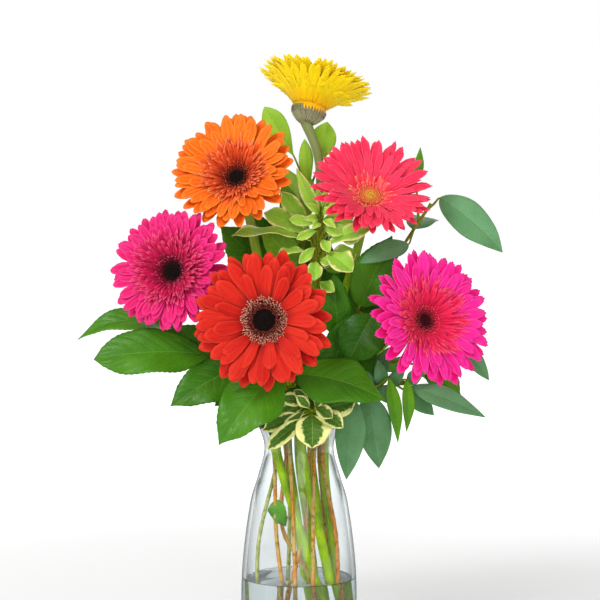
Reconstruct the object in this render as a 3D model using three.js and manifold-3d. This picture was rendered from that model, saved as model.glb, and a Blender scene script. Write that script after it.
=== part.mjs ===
// Six gerberas and mixed greens standing in a clear glass vase with a low level of water.
// Millimetres, +Z up, origin at the centre of the vase's flat bottom, the front of the bunch at -Y.
import * as THREE from 'three';
import { mergeVertices } from 'three/addons/utils/BufferGeometryUtils.js';
import Module from 'manifold-3d';

const wasm = await Module();
wasm.setup();

// Driving dimensions
const GAP = 0.3;
const VASE_HEIGHT = 175;
const VASE_WALL = 3.2;
const VASE_FLOOR = 10;
const VASE_SIDES = 22;
const FOOT_RADIUS = 40;
const FOOT_CHAMFER = 3;
const FLOOR_FILLET = [4, 1];
const INSIDE_BOTTOM = 15;
// Outer radius and height up the side of the vase, from heel to lip.
const VASE_SIDE = [
  [45, 10], [46.6, 33], [44.9, 68], [39.2, 110], [33.2, 131], [27.8, 155], [34, VASE_HEIGHT],
];
const VASE_SIDE_STEPS = 8;
const WATER_LEVEL = 50;
const NECK_HEIGHT = 150;
const FOOT_HEIGHT = 13;
const STEM_RADIUS = 3.5;
const TWIG_RADIUS = 1.7;
const STEM_SIDES = 7;
const STEM_STEP = 34;
const TWIG_SIDES = 5;
const TWIG_STEP = 28;
const ROOT_SUNK = 1;
const LEAF_THICKNESS = 0.8;
const PETIOLE_HALF_WIDTH = 0.8;
const PETAL_THICKNESS = 0.8;
const CALYX_HEIGHT = 13;
const CALYX_RADIUS = 15.5;
const DISC_RADIUS = 8.6;
// The receptacle: radius and height of each step of petals, from the calyx up.
const HUB = [[13, 0], [12.6, 2], [12, 4], [11, 5.6]];
const HUB_TOP = HUB.at(-1)[1];

const COLOURS = {
  red: 0xe0301e, orange: 0xf4661b, coral: 0xf43a5c, magenta: 0xd81b72, pink: 0xf21c94, yellow: 0xf8d012,
  darkDisc: 0x1d100d, goldDisc: 0xd9a441, stem: 0x86ad1c, salal: 0x2f7a1a, lightLeaf: 0x8dbb3c,
  eucalyptus: 0x5f9a83, glass: 0xdfe9ea, water: 0xd4dee4,
};

// Stems and twigs: where each stands on the vase floor, where it crosses the neck, and its way up.
// Blooms: facing is given as degrees turned right of the front and degrees lifted up.
const BLOOMS = [
  {
    name: 'red', colour: COLOURS.red, disc: [-26, -85, 262], turn: -10, lift: 5,
    radius: 53.5, pairs: 15, width: 12.5, rise: 9, innerReach: 19, innerRise: 5, discColour: COLOURS.darkDisc,
    foot: [32, -9], neck: [3, -19.5], way: [[1, -25, 182], [-11, -39, 222], [-20, -51, 250]],
  },
  {
    name: 'orange', colour: COLOURS.orange, disc: [-49, -16, 370.5], turn: -15, lift: 27,
    radius: 49, pairs: 15, width: 12, rise: 16.5, innerReach: 25, innerRise: 11.9, discColour: COLOURS.darkDisc,
    foot: [10, 12], neck: [-9, 5], way: [[-13, 7, 190], [-25, 9, 260], [-37, 8, 325]],
  },
  {
    name: 'coral', colour: COLOURS.coral, disc: [55.6, -25, 355.6], turn: 11, lift: 40,
    radius: 48, pairs: 15, width: 10.5, rise: 16, innerReach: 18, innerRise: 6.5, discColour: COLOURS.goldDisc,
    foot: [28, 14], neck: [10, 6], way: [[14, 8, 190], [30, 8, 255], [47, 3, 315]],
  },
  {
    name: 'magenta', colour: COLOURS.magenta, disc: [-98.2, -40, 297.2], turn: -19, lift: 13,
    radius: 49.5, pairs: 15, width: 10.5, rise: 9, innerReach: 30, innerRise: 9, discColour: COLOURS.darkDisc,
    foot: [24, -23], neck: [-17, -11], way: [[-20, -12, 182], [-38, -8, 225], [-64, -3, 262], [-82, -4, 285]],
  },
  {
    name: 'pink', colour: COLOURS.pink, disc: [97, -50, 259.3], turn: 30, lift: 17,
    radius: 53, pairs: 16, width: 11, rise: 13, innerReach: 26, innerRise: 9, discColour: COLOURS.darkDisc,
    foot: [33, 3], neck: [19.5, -5], way: [[24, -5, 183], [50, -8, 220], [76, -18, 246]],
  },
  {
    name: 'yellow', colour: COLOURS.yellow, disc: [9.5, 12.4, 431.5], turn: 139, lift: 70.5,
    radius: 45, pairs: 15, width: 11, rise: 21.5, innerReach: 23, innerRise: 14.6, discColour: COLOURS.goldDisc,
    foot: [17, 5], neck: [0, 1], way: [[2, 3, 200], [12, 4, 290], [17, 1, 360], [15.2, 0, 388]],
  },
];

// Leaf outlines: where the blade is widest, how full its sides are, and its cross stations.
const OVATE = { widest: 0.4, fullness: 0.8, stations: [0, 0.2, 0.5, 0.82, 1] };
const BROAD = { widest: 0.56, fullness: 0.7, stations: [0, 0.2, 0.5, 0.78, 0.94, 1] };
const LANCE = { widest: 0.42, fullness: 1.0, stations: [0, 0.25, 0.65, 1] };
const SPOON = { widest: 0.62, fullness: 0.8, stations: [0, 0.3, 0.6, 0.86, 1] };
const ROUND = { widest: 0.5, fullness: 0.6, stations: [0, 0.2, 0.5, 0.82, 1] };

const FRONT = [0, -0.85, 0.5];
const SKY = [0, -0.35, 0.93];
const BACK = [0, 0.6, 0.8];

// Leafy stems. A leaf leaves its twig at "from" (a share of the twig's length), and its blade runs
// from "base" to "tip"; arch bows it towards its face, fold closes it at the rib, wave ripples its edges.
const SPRAYS = [
  {
    name: 'salal_left', colour: COLOURS.salal,
    path: [
      [-9, -18, 13], [-18, -13, 88], [-20, -3, 150],
      [-24, -6, 174], [-41, -17, 203], [-66, -28, 229],
    ],
    leaves: [
      {
        from: 0.985, base: [-68, -29, 231], tip: [-160, -46, 229],
        width: 42, face: FRONT, arch: 9, fold: 12, wave: 1.2, shape: BROAD,
      },
      {
        from: 0.86, base: [-47, -30, 222], tip: [-100, -52, 193],
        width: 38, face: [-0.2, -0.9, 0.3], arch: 6, fold: 10, wave: 1.2, shape: OVATE,
      },
    ],
  },
  {
    name: 'salal_back_left', colour: COLOURS.salal,
    path: [[-33, -3, 13], [-33, 3, 75], [-18, 10, 150], [-25, 13, 176], [-52, 9, 215], [-90, 6, 243]],
    leaves: [
      {
        from: 0.985, base: [-94, 6, 246], tip: [-178, 4, 241],
        width: 30, face: [0.1, -0.6, 0.8], arch: 17, fold: 22, wave: 1, shape: OVATE,
      },
      {
        from: 0.86, base: [-66, 18, 226], tip: [-118, 62, 212],
        width: 38, face: [-0.2, 0.4, 0.9], arch: 8, fold: 12, wave: 1.5, shape: OVATE,
      },
      {
        from: 0.7, base: [-38, 24, 200], tip: [-62, 80, 178],
        width: 38, face: BACK, arch: 8, fold: 12, wave: 1.5, shape: OVATE,
      },
    ],
  },
  {
    name: 'salal_front', colour: COLOURS.salal,
    path: [
      [-2, -30, 13], [-4, -27, 85], [-7, -18.5, 150],
      [-9, -24, 178], [-10, -41, 203], [-12, -53, 221],
    ],
    leaves: [
      {
        from: 0.985, base: [-17, -60, 220], tip: [-61, -86, 167],
        width: 48, face: [-0.25, -0.85, 0.3], arch: 6, fold: 9, wave: 1.5, shape: OVATE,
      },
      {
        from: 0.97, base: [-1, -53, 218], tip: [66, -66, 199],
        width: 44, face: [0.1, -0.78, 0.62], arch: 8, fold: 6, wave: 2.2, shape: OVATE,
      },
    ],
  },
  {
    name: 'salal_right', colour: COLOURS.salal,
    path: [[24, 7, 13], [22, 5, 85], [16, 2, 150], [19, 3, 190], [30, 0, 232], [50, -9, 264]],
    leaves: [
      {
        from: 0.985, base: [58, -26, 263], tip: [39, -36, 226],
        width: 38, face: [-0.1, -0.95, 0.2], arch: 4, fold: 8, wave: 1, shape: ROUND,
      },
      {
        from: 0.97, base: [48, -9, 268], tip: [74, -12, 325],
        width: 36, face: [0.1, -0.95, 0.25], arch: 5, fold: 12, wave: 1.2, shape: OVATE,
      },
      {
        from: 0.86, base: [31, -10, 245], tip: [28, -20, 296],
        width: 26, face: [-0.1, -0.95, 0.2], arch: 4, fold: 10, wave: 1, shape: OVATE,
      },
    ],
  },
  {
    name: 'pittosporum_upper', colour: COLOURS.lightLeaf,
    path: [
      [-10, -9, 13], [-6, -12, 45], [6, -6, 97], [8, -9, 150],
      [9, -13, 195], [12, -15, 250], [14, -15, 298], [18, -11, 346],
    ],
    leaves: [
      {
        from: 0.86, base: [9, -17, 321], tip: [-53, -26, 325],
        width: 21, face: SKY, arch: 5, fold: 14, wave: 1.4, shape: SPOON,
      },
      {
        from: 0.87, base: [8, -12, 325], tip: [-28, -8, 343],
        width: 18, face: FRONT, arch: 4, fold: 12, wave: 1.2, shape: SPOON,
      },
      {
        from: 0.83, base: [7, -20, 312], tip: [-17, -30, 309],
        width: 14, face: SKY, arch: 3, fold: 10, wave: 1, shape: SPOON,
      },
      {
        from: 0.96, base: [16, -12, 341], tip: [-2, -14, 378],
        width: 12, face: [-0.3, -0.9, 0.2], arch: 3, fold: 14, wave: 0.8, shape: LANCE,
      },
      {
        from: 0.85, base: [21, -18, 317], tip: [60, -32, 333],
        width: 15, face: FRONT, arch: 4, fold: 12, wave: 1, shape: SPOON,
      },
      {
        from: 0.83, base: [21, -21, 312], tip: [42, -38, 297],
        width: 20, face: FRONT, arch: 3, fold: 8, wave: 1.6, shape: SPOON,
      },
      {
        from: 0.8, base: [13, -22, 305], tip: [12, -37, 290],
        width: 13, face: FRONT, arch: 3, fold: 10, wave: 1, shape: SPOON,
      },
      {
        from: 0.985, base: [18, -12, 348], tip: [14, -19, 362],
        width: 8, face: FRONT, arch: 1, fold: 12, wave: 0, shape: LANCE,
      },
      {
        from: 0.985, base: [20, -12, 347], tip: [31, -22, 356],
        width: 8, face: FRONT, arch: 1, fold: 12, wave: 0, shape: LANCE,
      },
      {
        from: 0.94, base: [20, -7, 333], tip: [39, -6, 341],
        width: 16, face: FRONT, arch: 2, fold: 10, wave: 1, shape: SPOON,
      },
      {
        from: 0.9, base: [20, -3, 322], tip: [33, 26, 330],
        width: 15, face: [0.2, 0.2, 0.95], arch: 4, fold: 12, wave: 1, shape: SPOON,
      },
      {
        from: 0.8, base: [18, -2, 298], tip: [30, 30, 290],
        width: 15, face: [0.1, 0.2, 0.95], arch: 4, fold: 12, wave: 1, shape: SPOON,
      },
    ],
  },
  {
    name: 'pittosporum_lower', colour: COLOURS.lightLeaf,
    path: [
      [10, -33, 13], [11, -30, 60], [11, -27, 100], [12, -18, 150],
      [13, -26, 181], [11, -43, 191], [10, -58, 190],
    ],
    leaves: [
      {
        from: 0.985, base: [10, -62, 187], tip: [10, -75, 163],
        width: 28, face: [0.1, -0.85, 0.5], arch: 3, fold: 6, wave: 2.2, shape: ROUND,
      },
      {
        from: 0.975, base: [6, -61, 186], tip: [-24, -74, 162],
        width: 15, face: FRONT, arch: 3, fold: 12, wave: 1.4, shape: SPOON,
      },
      {
        from: 0.98, base: [15, -56, 190], tip: [44, -54, 197],
        width: 21, face: [0, -0.95, 0.3], arch: 3, fold: 10, wave: 1.6, shape: ROUND,
      },
      {
        from: 0.98, base: [5, -57, 188], tip: [-28, -60, 175],
        width: 14, face: FRONT, arch: 3, fold: 12, wave: 1, shape: SPOON,
      },
      {
        from: 0.96, base: [8, -52, 194], tip: [-4, -54, 206],
        width: 10, face: FRONT, arch: 2, fold: 14, wave: 0.8, shape: SPOON,
      },
    ],
  },
  {
    name: 'eucalyptus_low', colour: COLOURS.eucalyptus,
    path: [
      [31, -20, 13], [29, -14, 85], [18, -11, 150], [22.5, -12.5, 176],
      [48, -20, 200], [84, -14, 208], [112, -4, 222], [128, 0, 236],
    ],
    leaves: [
      {
        from: 0.66, base: [43, -39, 196], tip: [37, -47, 135],
        width: 24, face: [-0.1, -0.95, 0.1], arch: 3, fold: 8, wave: 0, shape: OVATE,
      },
      {
        from: 0.69, base: [55, -29, 199], tip: [63, -34, 142],
        width: 29, face: [0.1, -0.95, 0.1], arch: 3, fold: 8, wave: 0, shape: OVATE,
      },
      {
        from: 0.72, base: [71, -28, 213], tip: [78, -32, 162],
        width: 12, face: [0.2, -0.95, 0.1], arch: 5, fold: 14, wave: 0, shape: LANCE,
      },
      {
        from: 0.77, base: [85, -25, 212], tip: [85, -26, 170],
        width: 11, face: [0.3, -0.95, 0.1], arch: 4, fold: 14, wave: 0, shape: LANCE,
      },
      {
        from: 0.81, base: [88, -17, 205], tip: [148, -22, 181],
        width: 19, face: FRONT, arch: 5, fold: 8, wave: 0, shape: LANCE,
      },
      {
        from: 0.79, base: [86, -9, 201], tip: [108, -7, 181],
        width: 16, face: FRONT, arch: 2, fold: 8, wave: 0, shape: OVATE,
      },
      {
        from: 0.985, base: [130, 1, 237], tip: [153, 5, 208],
        width: 15, face: [0.3, -0.9, 0.3], arch: 3, fold: 8, wave: 0, shape: OVATE,
      },
      {
        from: 0.88, base: [98, 4, 212], tip: [118, 44, 196],
        width: 24, face: [0.3, 0.4, 0.87], arch: 5, fold: 8, wave: 0, shape: OVATE,
      },
    ],
  },
  {
    name: 'eucalyptus_right', colour: COLOURS.eucalyptus,
    path: [
      [24, 24, 13], [22, 18, 85], [18, 11, 150], [24, 14, 190],
      [48, 14, 250], [80, 9, 310], [106, 6, 350],
    ],
    leaves: [
      {
        from: 0.985, base: [113, 5, 355], tip: [163, 0, 311],
        width: 30, face: [0.2, -0.93, 0.3], arch: 7, fold: 8, wave: 0, shape: OVATE,
      },
      {
        from: 0.93, base: [87, -13, 318], tip: [47, -24, 303],
        width: 18, face: FRONT, arch: 4, fold: 8, wave: 0, shape: OVATE,
      },
      {
        from: 0.95, base: [94, 4, 368], tip: [97, 2, 395],
        width: 9, face: [0.3, -0.9, 0.2], arch: 1, fold: 12, wave: 0, shape: LANCE,
      },
      {
        from: 0.82, base: [68, 24, 284], tip: [94, 62, 292],
        width: 24, face: [0.2, 0.4, 0.9], arch: 5, fold: 8, wave: 0, shape: OVATE,
      },
      {
        from: 0.93, base: [92, 16, 330], tip: [112, 52, 336],
        width: 24, face: [0.3, 0.2, 0.9], arch: 5, fold: 8, wave: 0, shape: OVATE,
      },
    ],
  },
  {
    name: 'greens_top', colour: COLOURS.lightLeaf,
    path: [
      [14, -6, 13], [8, -4, 51], [-13, -6, 89], [-10, -4, 150],
      [-8, -2, 200], [-3, 4, 260], [4, 8, 320], [9, 14, 366],
    ],
    leaves: [
      {
        from: 0.86, base: [2, 6, 318], tip: [-13, 8, 368],
        width: 21, face: [-0.1, -0.98, 0.1], arch: 2, fold: 10, wave: 0, shape: OVATE,
      },
      {
        from: 0.97, base: [8, 12, 358], tip: [4.5, 12, 402],
        width: 12, face: [-0.2, -0.95, 0.1], arch: 2, fold: 8, wave: 0.6, shape: SPOON,
      },
      {
        from: 0.985, base: [15, 15, 380], tip: [23, 18, 416],
        width: 20, face: [0.1, -0.95, 0.2], arch: 2, fold: 6, wave: 1, shape: SPOON,
      },
      {
        from: 0.985, base: [-4, 17, 388], tip: [-28, 17, 428],
        width: 21, face: [-0.2, -0.95, 0.2], arch: 3, fold: 8, wave: 1, shape: SPOON,
      },
      {
        from: 0.93, base: [2, 22, 345], tip: [-14, 50, 378],
        width: 20, face: [0, 0.7, 0.7], arch: 4, fold: 10, wave: 1, shape: SPOON,
      },
    ],
  },
  {
    name: 'salal_back_right', colour: COLOURS.salal,
    path: [[8, 28, 13], [6, 22, 85], [4, 17, 150], [8, 24, 180], [40, 27, 208], [84, 12, 224]],
    leaves: [
      {
        from: 0.985, base: [102, 4, 220], tip: [131, -2, 187],
        width: 24, face: [0.3, -0.8, 0.5], arch: 4, fold: 10, wave: 1.2, shape: OVATE,
      },
      {
        from: 0.86, base: [56, 36, 216], tip: [88, 84, 204],
        width: 38, face: [0.2, 0.5, 0.85], arch: 8, fold: 12, wave: 1.5, shape: OVATE,
      },
      {
        from: 0.74, base: [28, 38, 206], tip: [30, 96, 188],
        width: 40, face: BACK, arch: 8, fold: 12, wave: 1.5, shape: OVATE,
      },
    ],
  },
  {
    name: 'salal_back', colour: COLOURS.salal,
    path: [[-10, 26, 13], [-8, 22, 85], [-7, 17, 150], [-10, 24, 185], [-18, 36, 232], [-14, 42, 276]],
    leaves: [
      {
        from: 0.985, base: [-24, 34, 294], tip: [-64, 20, 332],
        width: 34, face: [-0.1, -0.9, 0.4], arch: 3, fold: 8, wave: 1, shape: OVATE,
      },
      {
        from: 0.985, base: [-12, 46, 286], tip: [4, 66, 340],
        width: 34, face: [0, 0.9, 0.4], arch: 7, fold: 12, wave: 1.5, shape: OVATE,
      },
      {
        from: 0.92, base: [-26, 48, 262], tip: [-72, 74, 282],
        width: 36, face: [-0.2, 0.7, 0.7], arch: 7, fold: 12, wave: 1.5, shape: OVATE,
      },
      {
        from: 0.86, base: [-6, 50, 246], tip: [36, 84, 256],
        width: 36, face: [0.2, 0.7, 0.7], arch: 7, fold: 12, wave: 1.5, shape: OVATE,
      },
      {
        from: 0.78, base: [-20, 46, 222], tip: [-34, 96, 228],
        width: 36, face: [0, 0.5, 0.87], arch: 8, fold: 12, wave: 1.5, shape: OVATE,
      },
    ],
  },
];

const vector = (point) => new THREE.Vector3(...point);
const flat = (point) => new THREE.Vector2(...point);
const radians = (degrees) => degrees * Math.PI / 180;

// A repeatable draw between -1 and 1 for each whole number.
function draw(seed) {
  const value = Math.sin(seed * 12.9898 + 4.1414) * 43758.5453;
  return 2 * (value - Math.floor(value)) - 1;
}

// Solids from meshes and back
function toSolid(geometry) {
  const bare = geometry.clone();
  bare.deleteAttribute('normal');
  bare.deleteAttribute('uv');
  const merged = mergeVertices(bare, 1e-4);
  return new wasm.Manifold(new wasm.Mesh({
    numProp: 3,
    vertProperties: new Float32Array(merged.attributes.position.array),
    triVerts: new Uint32Array(merged.index.array),
  }));
}

function fromSolid(solid) {
  const mesh = solid.getMesh();
  const geometry = new THREE.BufferGeometry();
  geometry.setAttribute('position', new THREE.BufferAttribute(new Float32Array(mesh.vertProperties), 3));
  geometry.setIndex(new THREE.BufferAttribute(new Uint32Array(mesh.triVerts), 1));
  return geometry;
}

function fuse(geometries) {
  return fromSolid(geometries.map(toSolid).reduce((whole, next) => whole.add(next)));
}

function meshFrom(points, faces) {
  const geometry = new THREE.BufferGeometry();
  const places = points.flatMap((point) => point.toArray());
  geometry.setAttribute('position', new THREE.Float32BufferAttribute(places, 3));
  geometry.setIndex(faces);
  return geometry;
}

// Joins rings of equally many points into a closed body with flat ends. From the panel "under" on,
// panels are split the other way, so that the two faces of a waved blade bend along the same lines.
function loft(rings, under = Infinity) {
  const count = rings[0].length;
  const faces = [];
  for (let r = 0; r < rings.length - 1; r += 1) {
    for (let i = 0; i < count; i += 1) {
      const a = r * count + i;
      const b = r * count + (i + 1) % count;
      if (i < under) {
        faces.push(a, b, b + count, a, b + count, a + count);
      } else {
        faces.push(a, b, a + count, b, b + count, a + count);
      }
    }
  }
  const last = (rings.length - 1) * count;
  for (let i = 1; i < count - 1; i += 1) {
    faces.push(0, i + 1, i, last, last + i, last + i + 1);
  }
  return meshFrom(rings.flat(), faces);
}

// Stems and twigs
function spine(points, spacing) {
  const curve = new THREE.CatmullRomCurve3(points.map(vector));
  return { curve, steps: Math.round(curve.getLength() / spacing) };
}

function tube(points, radius, sides, spacing) {
  const { curve, steps } = spine(points, spacing);
  const outline = new THREE.Shape();
  for (let i = 0; i < sides; i += 1) {
    const angle = 2 * Math.PI * i / sides;
    const place = [radius * Math.cos(angle), radius * Math.sin(angle)];
    if (i === 0) {
      outline.moveTo(...place);
    } else {
      outline.lineTo(...place);
    }
  }
  return new THREE.ExtrudeGeometry(outline, { steps, bevelEnabled: false, extrudePath: curve });
}

// Leaves
function bladeHalfWidth(leaf, t) {
  const power = Math.log(0.5) / Math.log(leaf.shape.widest);
  const swell = Math.sin(Math.PI * t ** power);
  return Math.max(leaf.width / 2 * Math.max(swell, 0) ** leaf.shape.fullness, PETIOLE_HALF_WIDTH);
}

function leafGeometry(leaf, root) {
  const base = vector(leaf.base);
  const run = vector(leaf.tip).sub(base);
  const bladeSide = run.clone().cross(vector(leaf.face)).normalize();
  const bladeFace = bladeSide.clone().cross(run).normalize();
  const fold = radians(leaf.fold);
  const { stations } = leaf.shape;
  const middles = stations.map((t) => base.clone().addScaledVector(run, t)
    .addScaledVector(bladeFace, leaf.arch * 4 * t * (1 - t)));
  const line = [root, ...middles];
  const rings = line.map((middle, index) => {
    const along = new THREE.Vector3();
    if (index > 0) {
      along.add(middle.clone().sub(line[index - 1]).normalize());
    }
    if (index < line.length - 1) {
      along.add(line[index + 1].clone().sub(middle).normalize());
    }
    along.normalize();
    const side = bladeSide.clone().addScaledVector(along, -along.dot(bladeSide)).normalize();
    const face = side.clone().cross(along);
    const half = index === 0 ? PETIOLE_HALF_WIDTH : bladeHalfWidth(leaf, stations[index - 1]);
    const ripple = leaf.wave * Math.cos(Math.PI * index) * Math.min(1, half / (0.3 * leaf.width));
    const top = [-1, 0, 1].map((edge) => middle.clone()
      .addScaledVector(side, edge * half * Math.cos(fold))
      .addScaledVector(face, Math.abs(edge) * half * Math.sin(fold) + edge * ripple));
    const under = top.map((point) => point.clone().addScaledVector(face, -LEAF_THICKNESS)).reverse();
    return [...top, ...under];
  });
  return loft(rings, rings[0].length / 2);
}

// The root of a leaf lies on the middle line of the twig's straight lengths, a little past it.
function leafRoot(leaf, marks) {
  const place = leaf.from * (marks.length - 1);
  const index = Math.min(Math.floor(place), marks.length - 2);
  const onTwig = marks[index].clone().lerp(marks[index + 1], place - index);
  const inwards = onTwig.clone().sub(vector(leaf.base)).normalize();
  return onTwig.addScaledVector(inwards, ROOT_SUNK);
}

function sprayGeometry(spray) {
  const { curve, steps } = spine(spray.path, TWIG_STEP);
  const marks = curve.getSpacedPoints(steps);
  const leaves = spray.leaves.map((leaf) => leafGeometry(leaf, leafRoot(leaf, marks)));
  return fuse([tube(spray.path, TWIG_RADIUS, TWIG_SIDES, TWIG_STEP), ...leaves]);
}

// Blooms are made lying flat, facing +Z, and are then turned to their place.
function bloomPlacement(bloom) {
  const turn = radians(bloom.turn);
  const lift = radians(bloom.lift);
  const facing = new THREE.Vector3(
    Math.sin(turn) * Math.cos(lift), -Math.cos(turn) * Math.cos(lift), Math.sin(lift));
  const right = new THREE.Vector3(0, 0, 1).cross(facing).normalize();
  const up = facing.clone().cross(right);
  const origin = vector(bloom.disc).addScaledVector(facing, -HUB_TOP);
  return new THREE.Matrix4().makeBasis(right, up, facing).setPosition(origin);
}

// Height of a petal's middle line over its root, for a share of its length.
const petalRise = (rise, share) => rise * (1.6 * share - 0.6 * share * share);
const petalSlope = (rise, share) => rise * (1.6 - 1.2 * share);

const LONG_PETAL = [{ share: 0.3, width: 0.6 }, { share: 0.74, width: 1 }, { share: 1, width: 0.42 }];
const SHORT_FLORET = [{ share: 0.5, width: 1 }, { share: 1, width: 0.45 }];
const FLORET_WIDTH = 4;
const REACH_SPREAD = 0.035;
const PETAL_TWIST = 5;
const SECOND_ROW = { reach: 0.94, rise: 4 };

// The receptacle as a low drum in three steps, with a petal drawn out of every second wall panel.
function petalsGeometry(bloom) {
  const sections = 2 * bloom.pairs;
  const points = [];
  const faces = [];
  const quad = (a, b, c, d) => faces.push(a, b, c, a, c, d);
  const rings = HUB.map(([radius, height]) => {
    const start = points.length;
    for (let i = 0; i < sections; i += 1) {
      const angle = 2 * Math.PI * i / sections;
      points.push(new THREE.Vector3(radius * Math.cos(angle), radius * Math.sin(angle), height));
    }
    return start;
  });
  const petal = (root, angle, wall, form) => {
    let previous = root;
    const outward = new THREE.Vector3(Math.cos(angle), Math.sin(angle), 0);
    const across = new THREE.Vector3(-Math.sin(angle), Math.cos(angle), 0);
    const length = form.reach - wall.radius;
    form.profile.forEach(({ share, width }) => {
      const slope = petalSlope(form.rise, share) / length;
      const normal = new THREE.Vector3(0, 0, 1).addScaledVector(outward, -slope).normalize();
      const wide = across.clone().applyAxisAngle(outward, form.roll);
      const lean = normal.clone().applyAxisAngle(outward, form.roll);
      const middle = outward.clone().multiplyScalar(wall.radius + length * share);
      middle.z = wall.height + petalRise(form.rise, share);
      const next = [[-1, -1], [1, -1], [1, 1], [-1, 1]].map(([sideways, upward]) => points.push(
        middle.clone().addScaledVector(wide, sideways * form.width * width / 2)
          .addScaledVector(lean, upward * PETAL_THICKNESS / 2)) - 1);
      quad(previous[0], previous[1], next[1], next[0]);
      quad(previous[1], previous[2], next[2], next[1]);
      quad(previous[3], next[3], next[2], previous[2]);
      quad(previous[0], next[0], next[3], previous[3]);
      previous = next;
    });
    quad(...previous);
  };
  const bloomSeed = 1000 * (BLOOMS.indexOf(bloom) + 1);
  const { radius, rise, width, innerReach, innerRise } = bloom;
  const steps = [
    { reach: radius, rise, width, profile: LONG_PETAL, twist: PETAL_TWIST, spread: 1 },
    {
      reach: SECOND_ROW.reach * radius, rise: rise + SECOND_ROW.rise, width,
      profile: LONG_PETAL, twist: PETAL_TWIST, spread: 1,
    },
    { reach: innerReach, rise: innerRise, width: FLORET_WIDTH, profile: SHORT_FLORET, twist: 0, spread: 0.8 },
  ];
  steps.forEach((form, step) => {
    const wall = {
      radius: (HUB[step][0] + HUB[step + 1][0]) / 2 * Math.cos(Math.PI / sections),
      height: (HUB[step][1] + HUB[step + 1][1]) / 2,
    };
    for (let i = 0; i < sections; i += 1) {
      const j = (i + 1) % sections;
      const root = [rings[step] + i, rings[step] + j, rings[step + 1] + j, rings[step + 1] + i];
      const seed = bloomSeed + 300 * step + i;
      if (i % 2 === step % 2) {
        petal(root, 2 * Math.PI * (i + 0.5) / sections, wall, {
          ...form,
          reach: form.reach * (1 + REACH_SPREAD * draw(seed)),
          roll: radians(form.twist) * draw(seed + 100),
          rise: form.rise + form.spread * draw(seed + 200),
        });
      } else {
        quad(...root);
      }
    }
  });
  const under = points.push(new THREE.Vector3(0, 0, 0)) - 1;
  const top = points.push(new THREE.Vector3(0, 0, HUB_TOP)) - 1;
  for (let i = 0; i < sections; i += 1) {
    const j = (i + 1) % sections;
    faces.push(under, rings[0] + j, rings[0] + i, top, rings.at(-1) + i, rings.at(-1) + j);
  }
  return meshFrom(points, faces);
}

// The disc of tiny florets: a low dome with raised buds in staggered rows, as [share of radius, height].
const DISC_ROWS = [[0.97, 0], [1, 1.2], [0.72, 2.3], [0.4, 2.7]];
const DISC_COLUMNS = 16;
const BUD_RAISED = 0.5;

function discGeometry() {
  const rings = DISC_ROWS.map(([share, height], row) => {
    const ring = [];
    for (let i = 0; i < DISC_COLUMNS; i += 1) {
      const angle = 2 * Math.PI * i / DISC_COLUMNS;
      const raised = row === 0 ? 0 : BUD_RAISED * ((i + row) % 2);
      const radius = DISC_RADIUS * share + raised / 2;
      ring.push(new THREE.Vector3(radius * Math.cos(angle), radius * Math.sin(angle), height + raised));
    }
    return ring;
  });
  return loft(rings).translate(0, 0, HUB_TOP + GAP);
}

// The green cup under the petals, ribbed and toothed by its bracts, as [height, radius, rib, tooth].
const CALYX_SIDES = 12;
const CALYX_ROWS = [
  [-CALYX_HEIGHT, 3.7, 0, 0], [1.5 - CALYX_HEIGHT, 7, 0.2, 0], [-6.5, 12.2, 0.6, 0],
  [-2, CALYX_RADIUS, 0.8, 1], [-GAP, HUB[0][0], 0, 0],
];

function calyxGeometry() {
  return loft(CALYX_ROWS.map(([height, radius, rib, tooth]) => {
    const ring = [];
    for (let i = 0; i < CALYX_SIDES; i += 1) {
      const angle = 2 * Math.PI * i / CALYX_SIDES;
      const sign = i % 2 === 0 ? 1 : -1;
      ring.push(new THREE.Vector3((radius + rib * sign) * Math.cos(angle),
        (radius + rib * sign) * Math.sin(angle), height + tooth * sign));
    }
    return ring;
  }));
}

// A bloom's stem runs straight through the vase, and then bends to the back of its calyx.
function stemPath(bloom) {
  const top = new THREE.Vector3(0, 0, 1 - CALYX_HEIGHT).applyMatrix4(bloomPlacement(bloom));
  const foot = new THREE.Vector3(...bloom.foot, FOOT_HEIGHT);
  const neck = new THREE.Vector3(...bloom.neck, NECK_HEIGHT);
  const below = foot.clone().lerp(neck, 0.5);
  return [foot.toArray(), below.toArray(), neck.toArray(), ...bloom.way, top.toArray()];
}

function stemGeometry(bloom) {
  const calyx = calyxGeometry().applyMatrix4(bloomPlacement(bloom));
  return fuse([tube(stemPath(bloom), STEM_RADIUS, STEM_SIDES, STEM_STEP), calyx]);
}

// Vase and water
const side = new THREE.SplineCurve(VASE_SIDE.map(flat)).getPoints(VASE_SIDE_STEPS);
const innerSide = side.map((point) => new THREE.Vector2(point.x - VASE_WALL, Math.max(point.y, INSIDE_BOTTOM)));

function turned(profile, sides) {
  return new THREE.LatheGeometry(profile, sides).rotateX(Math.PI / 2);
}

function vaseGeometry() {
  const [inward, raised] = FLOOR_FILLET;
  const bottom = [[0, 0], [FOOT_RADIUS, 0], [FOOT_RADIUS + FOOT_CHAMFER, FOOT_CHAMFER]];
  const floor = [[innerSide[0].x - inward, VASE_FLOOR + raised], [0, VASE_FLOOR]];
  const inside = [...innerSide].reverse();
  return turned([...bottom.map(flat), ...side, ...inside, ...floor.map(flat)], VASE_SIDES);
}

function innerRadiusAt(height) {
  const index = innerSide.findIndex((point) => point.y >= height);
  const [low, high] = [innerSide[index - 1], innerSide[index]];
  return low.x + (high.x - low.x) * (height - low.y) / (high.y - low.y);
}

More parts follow.
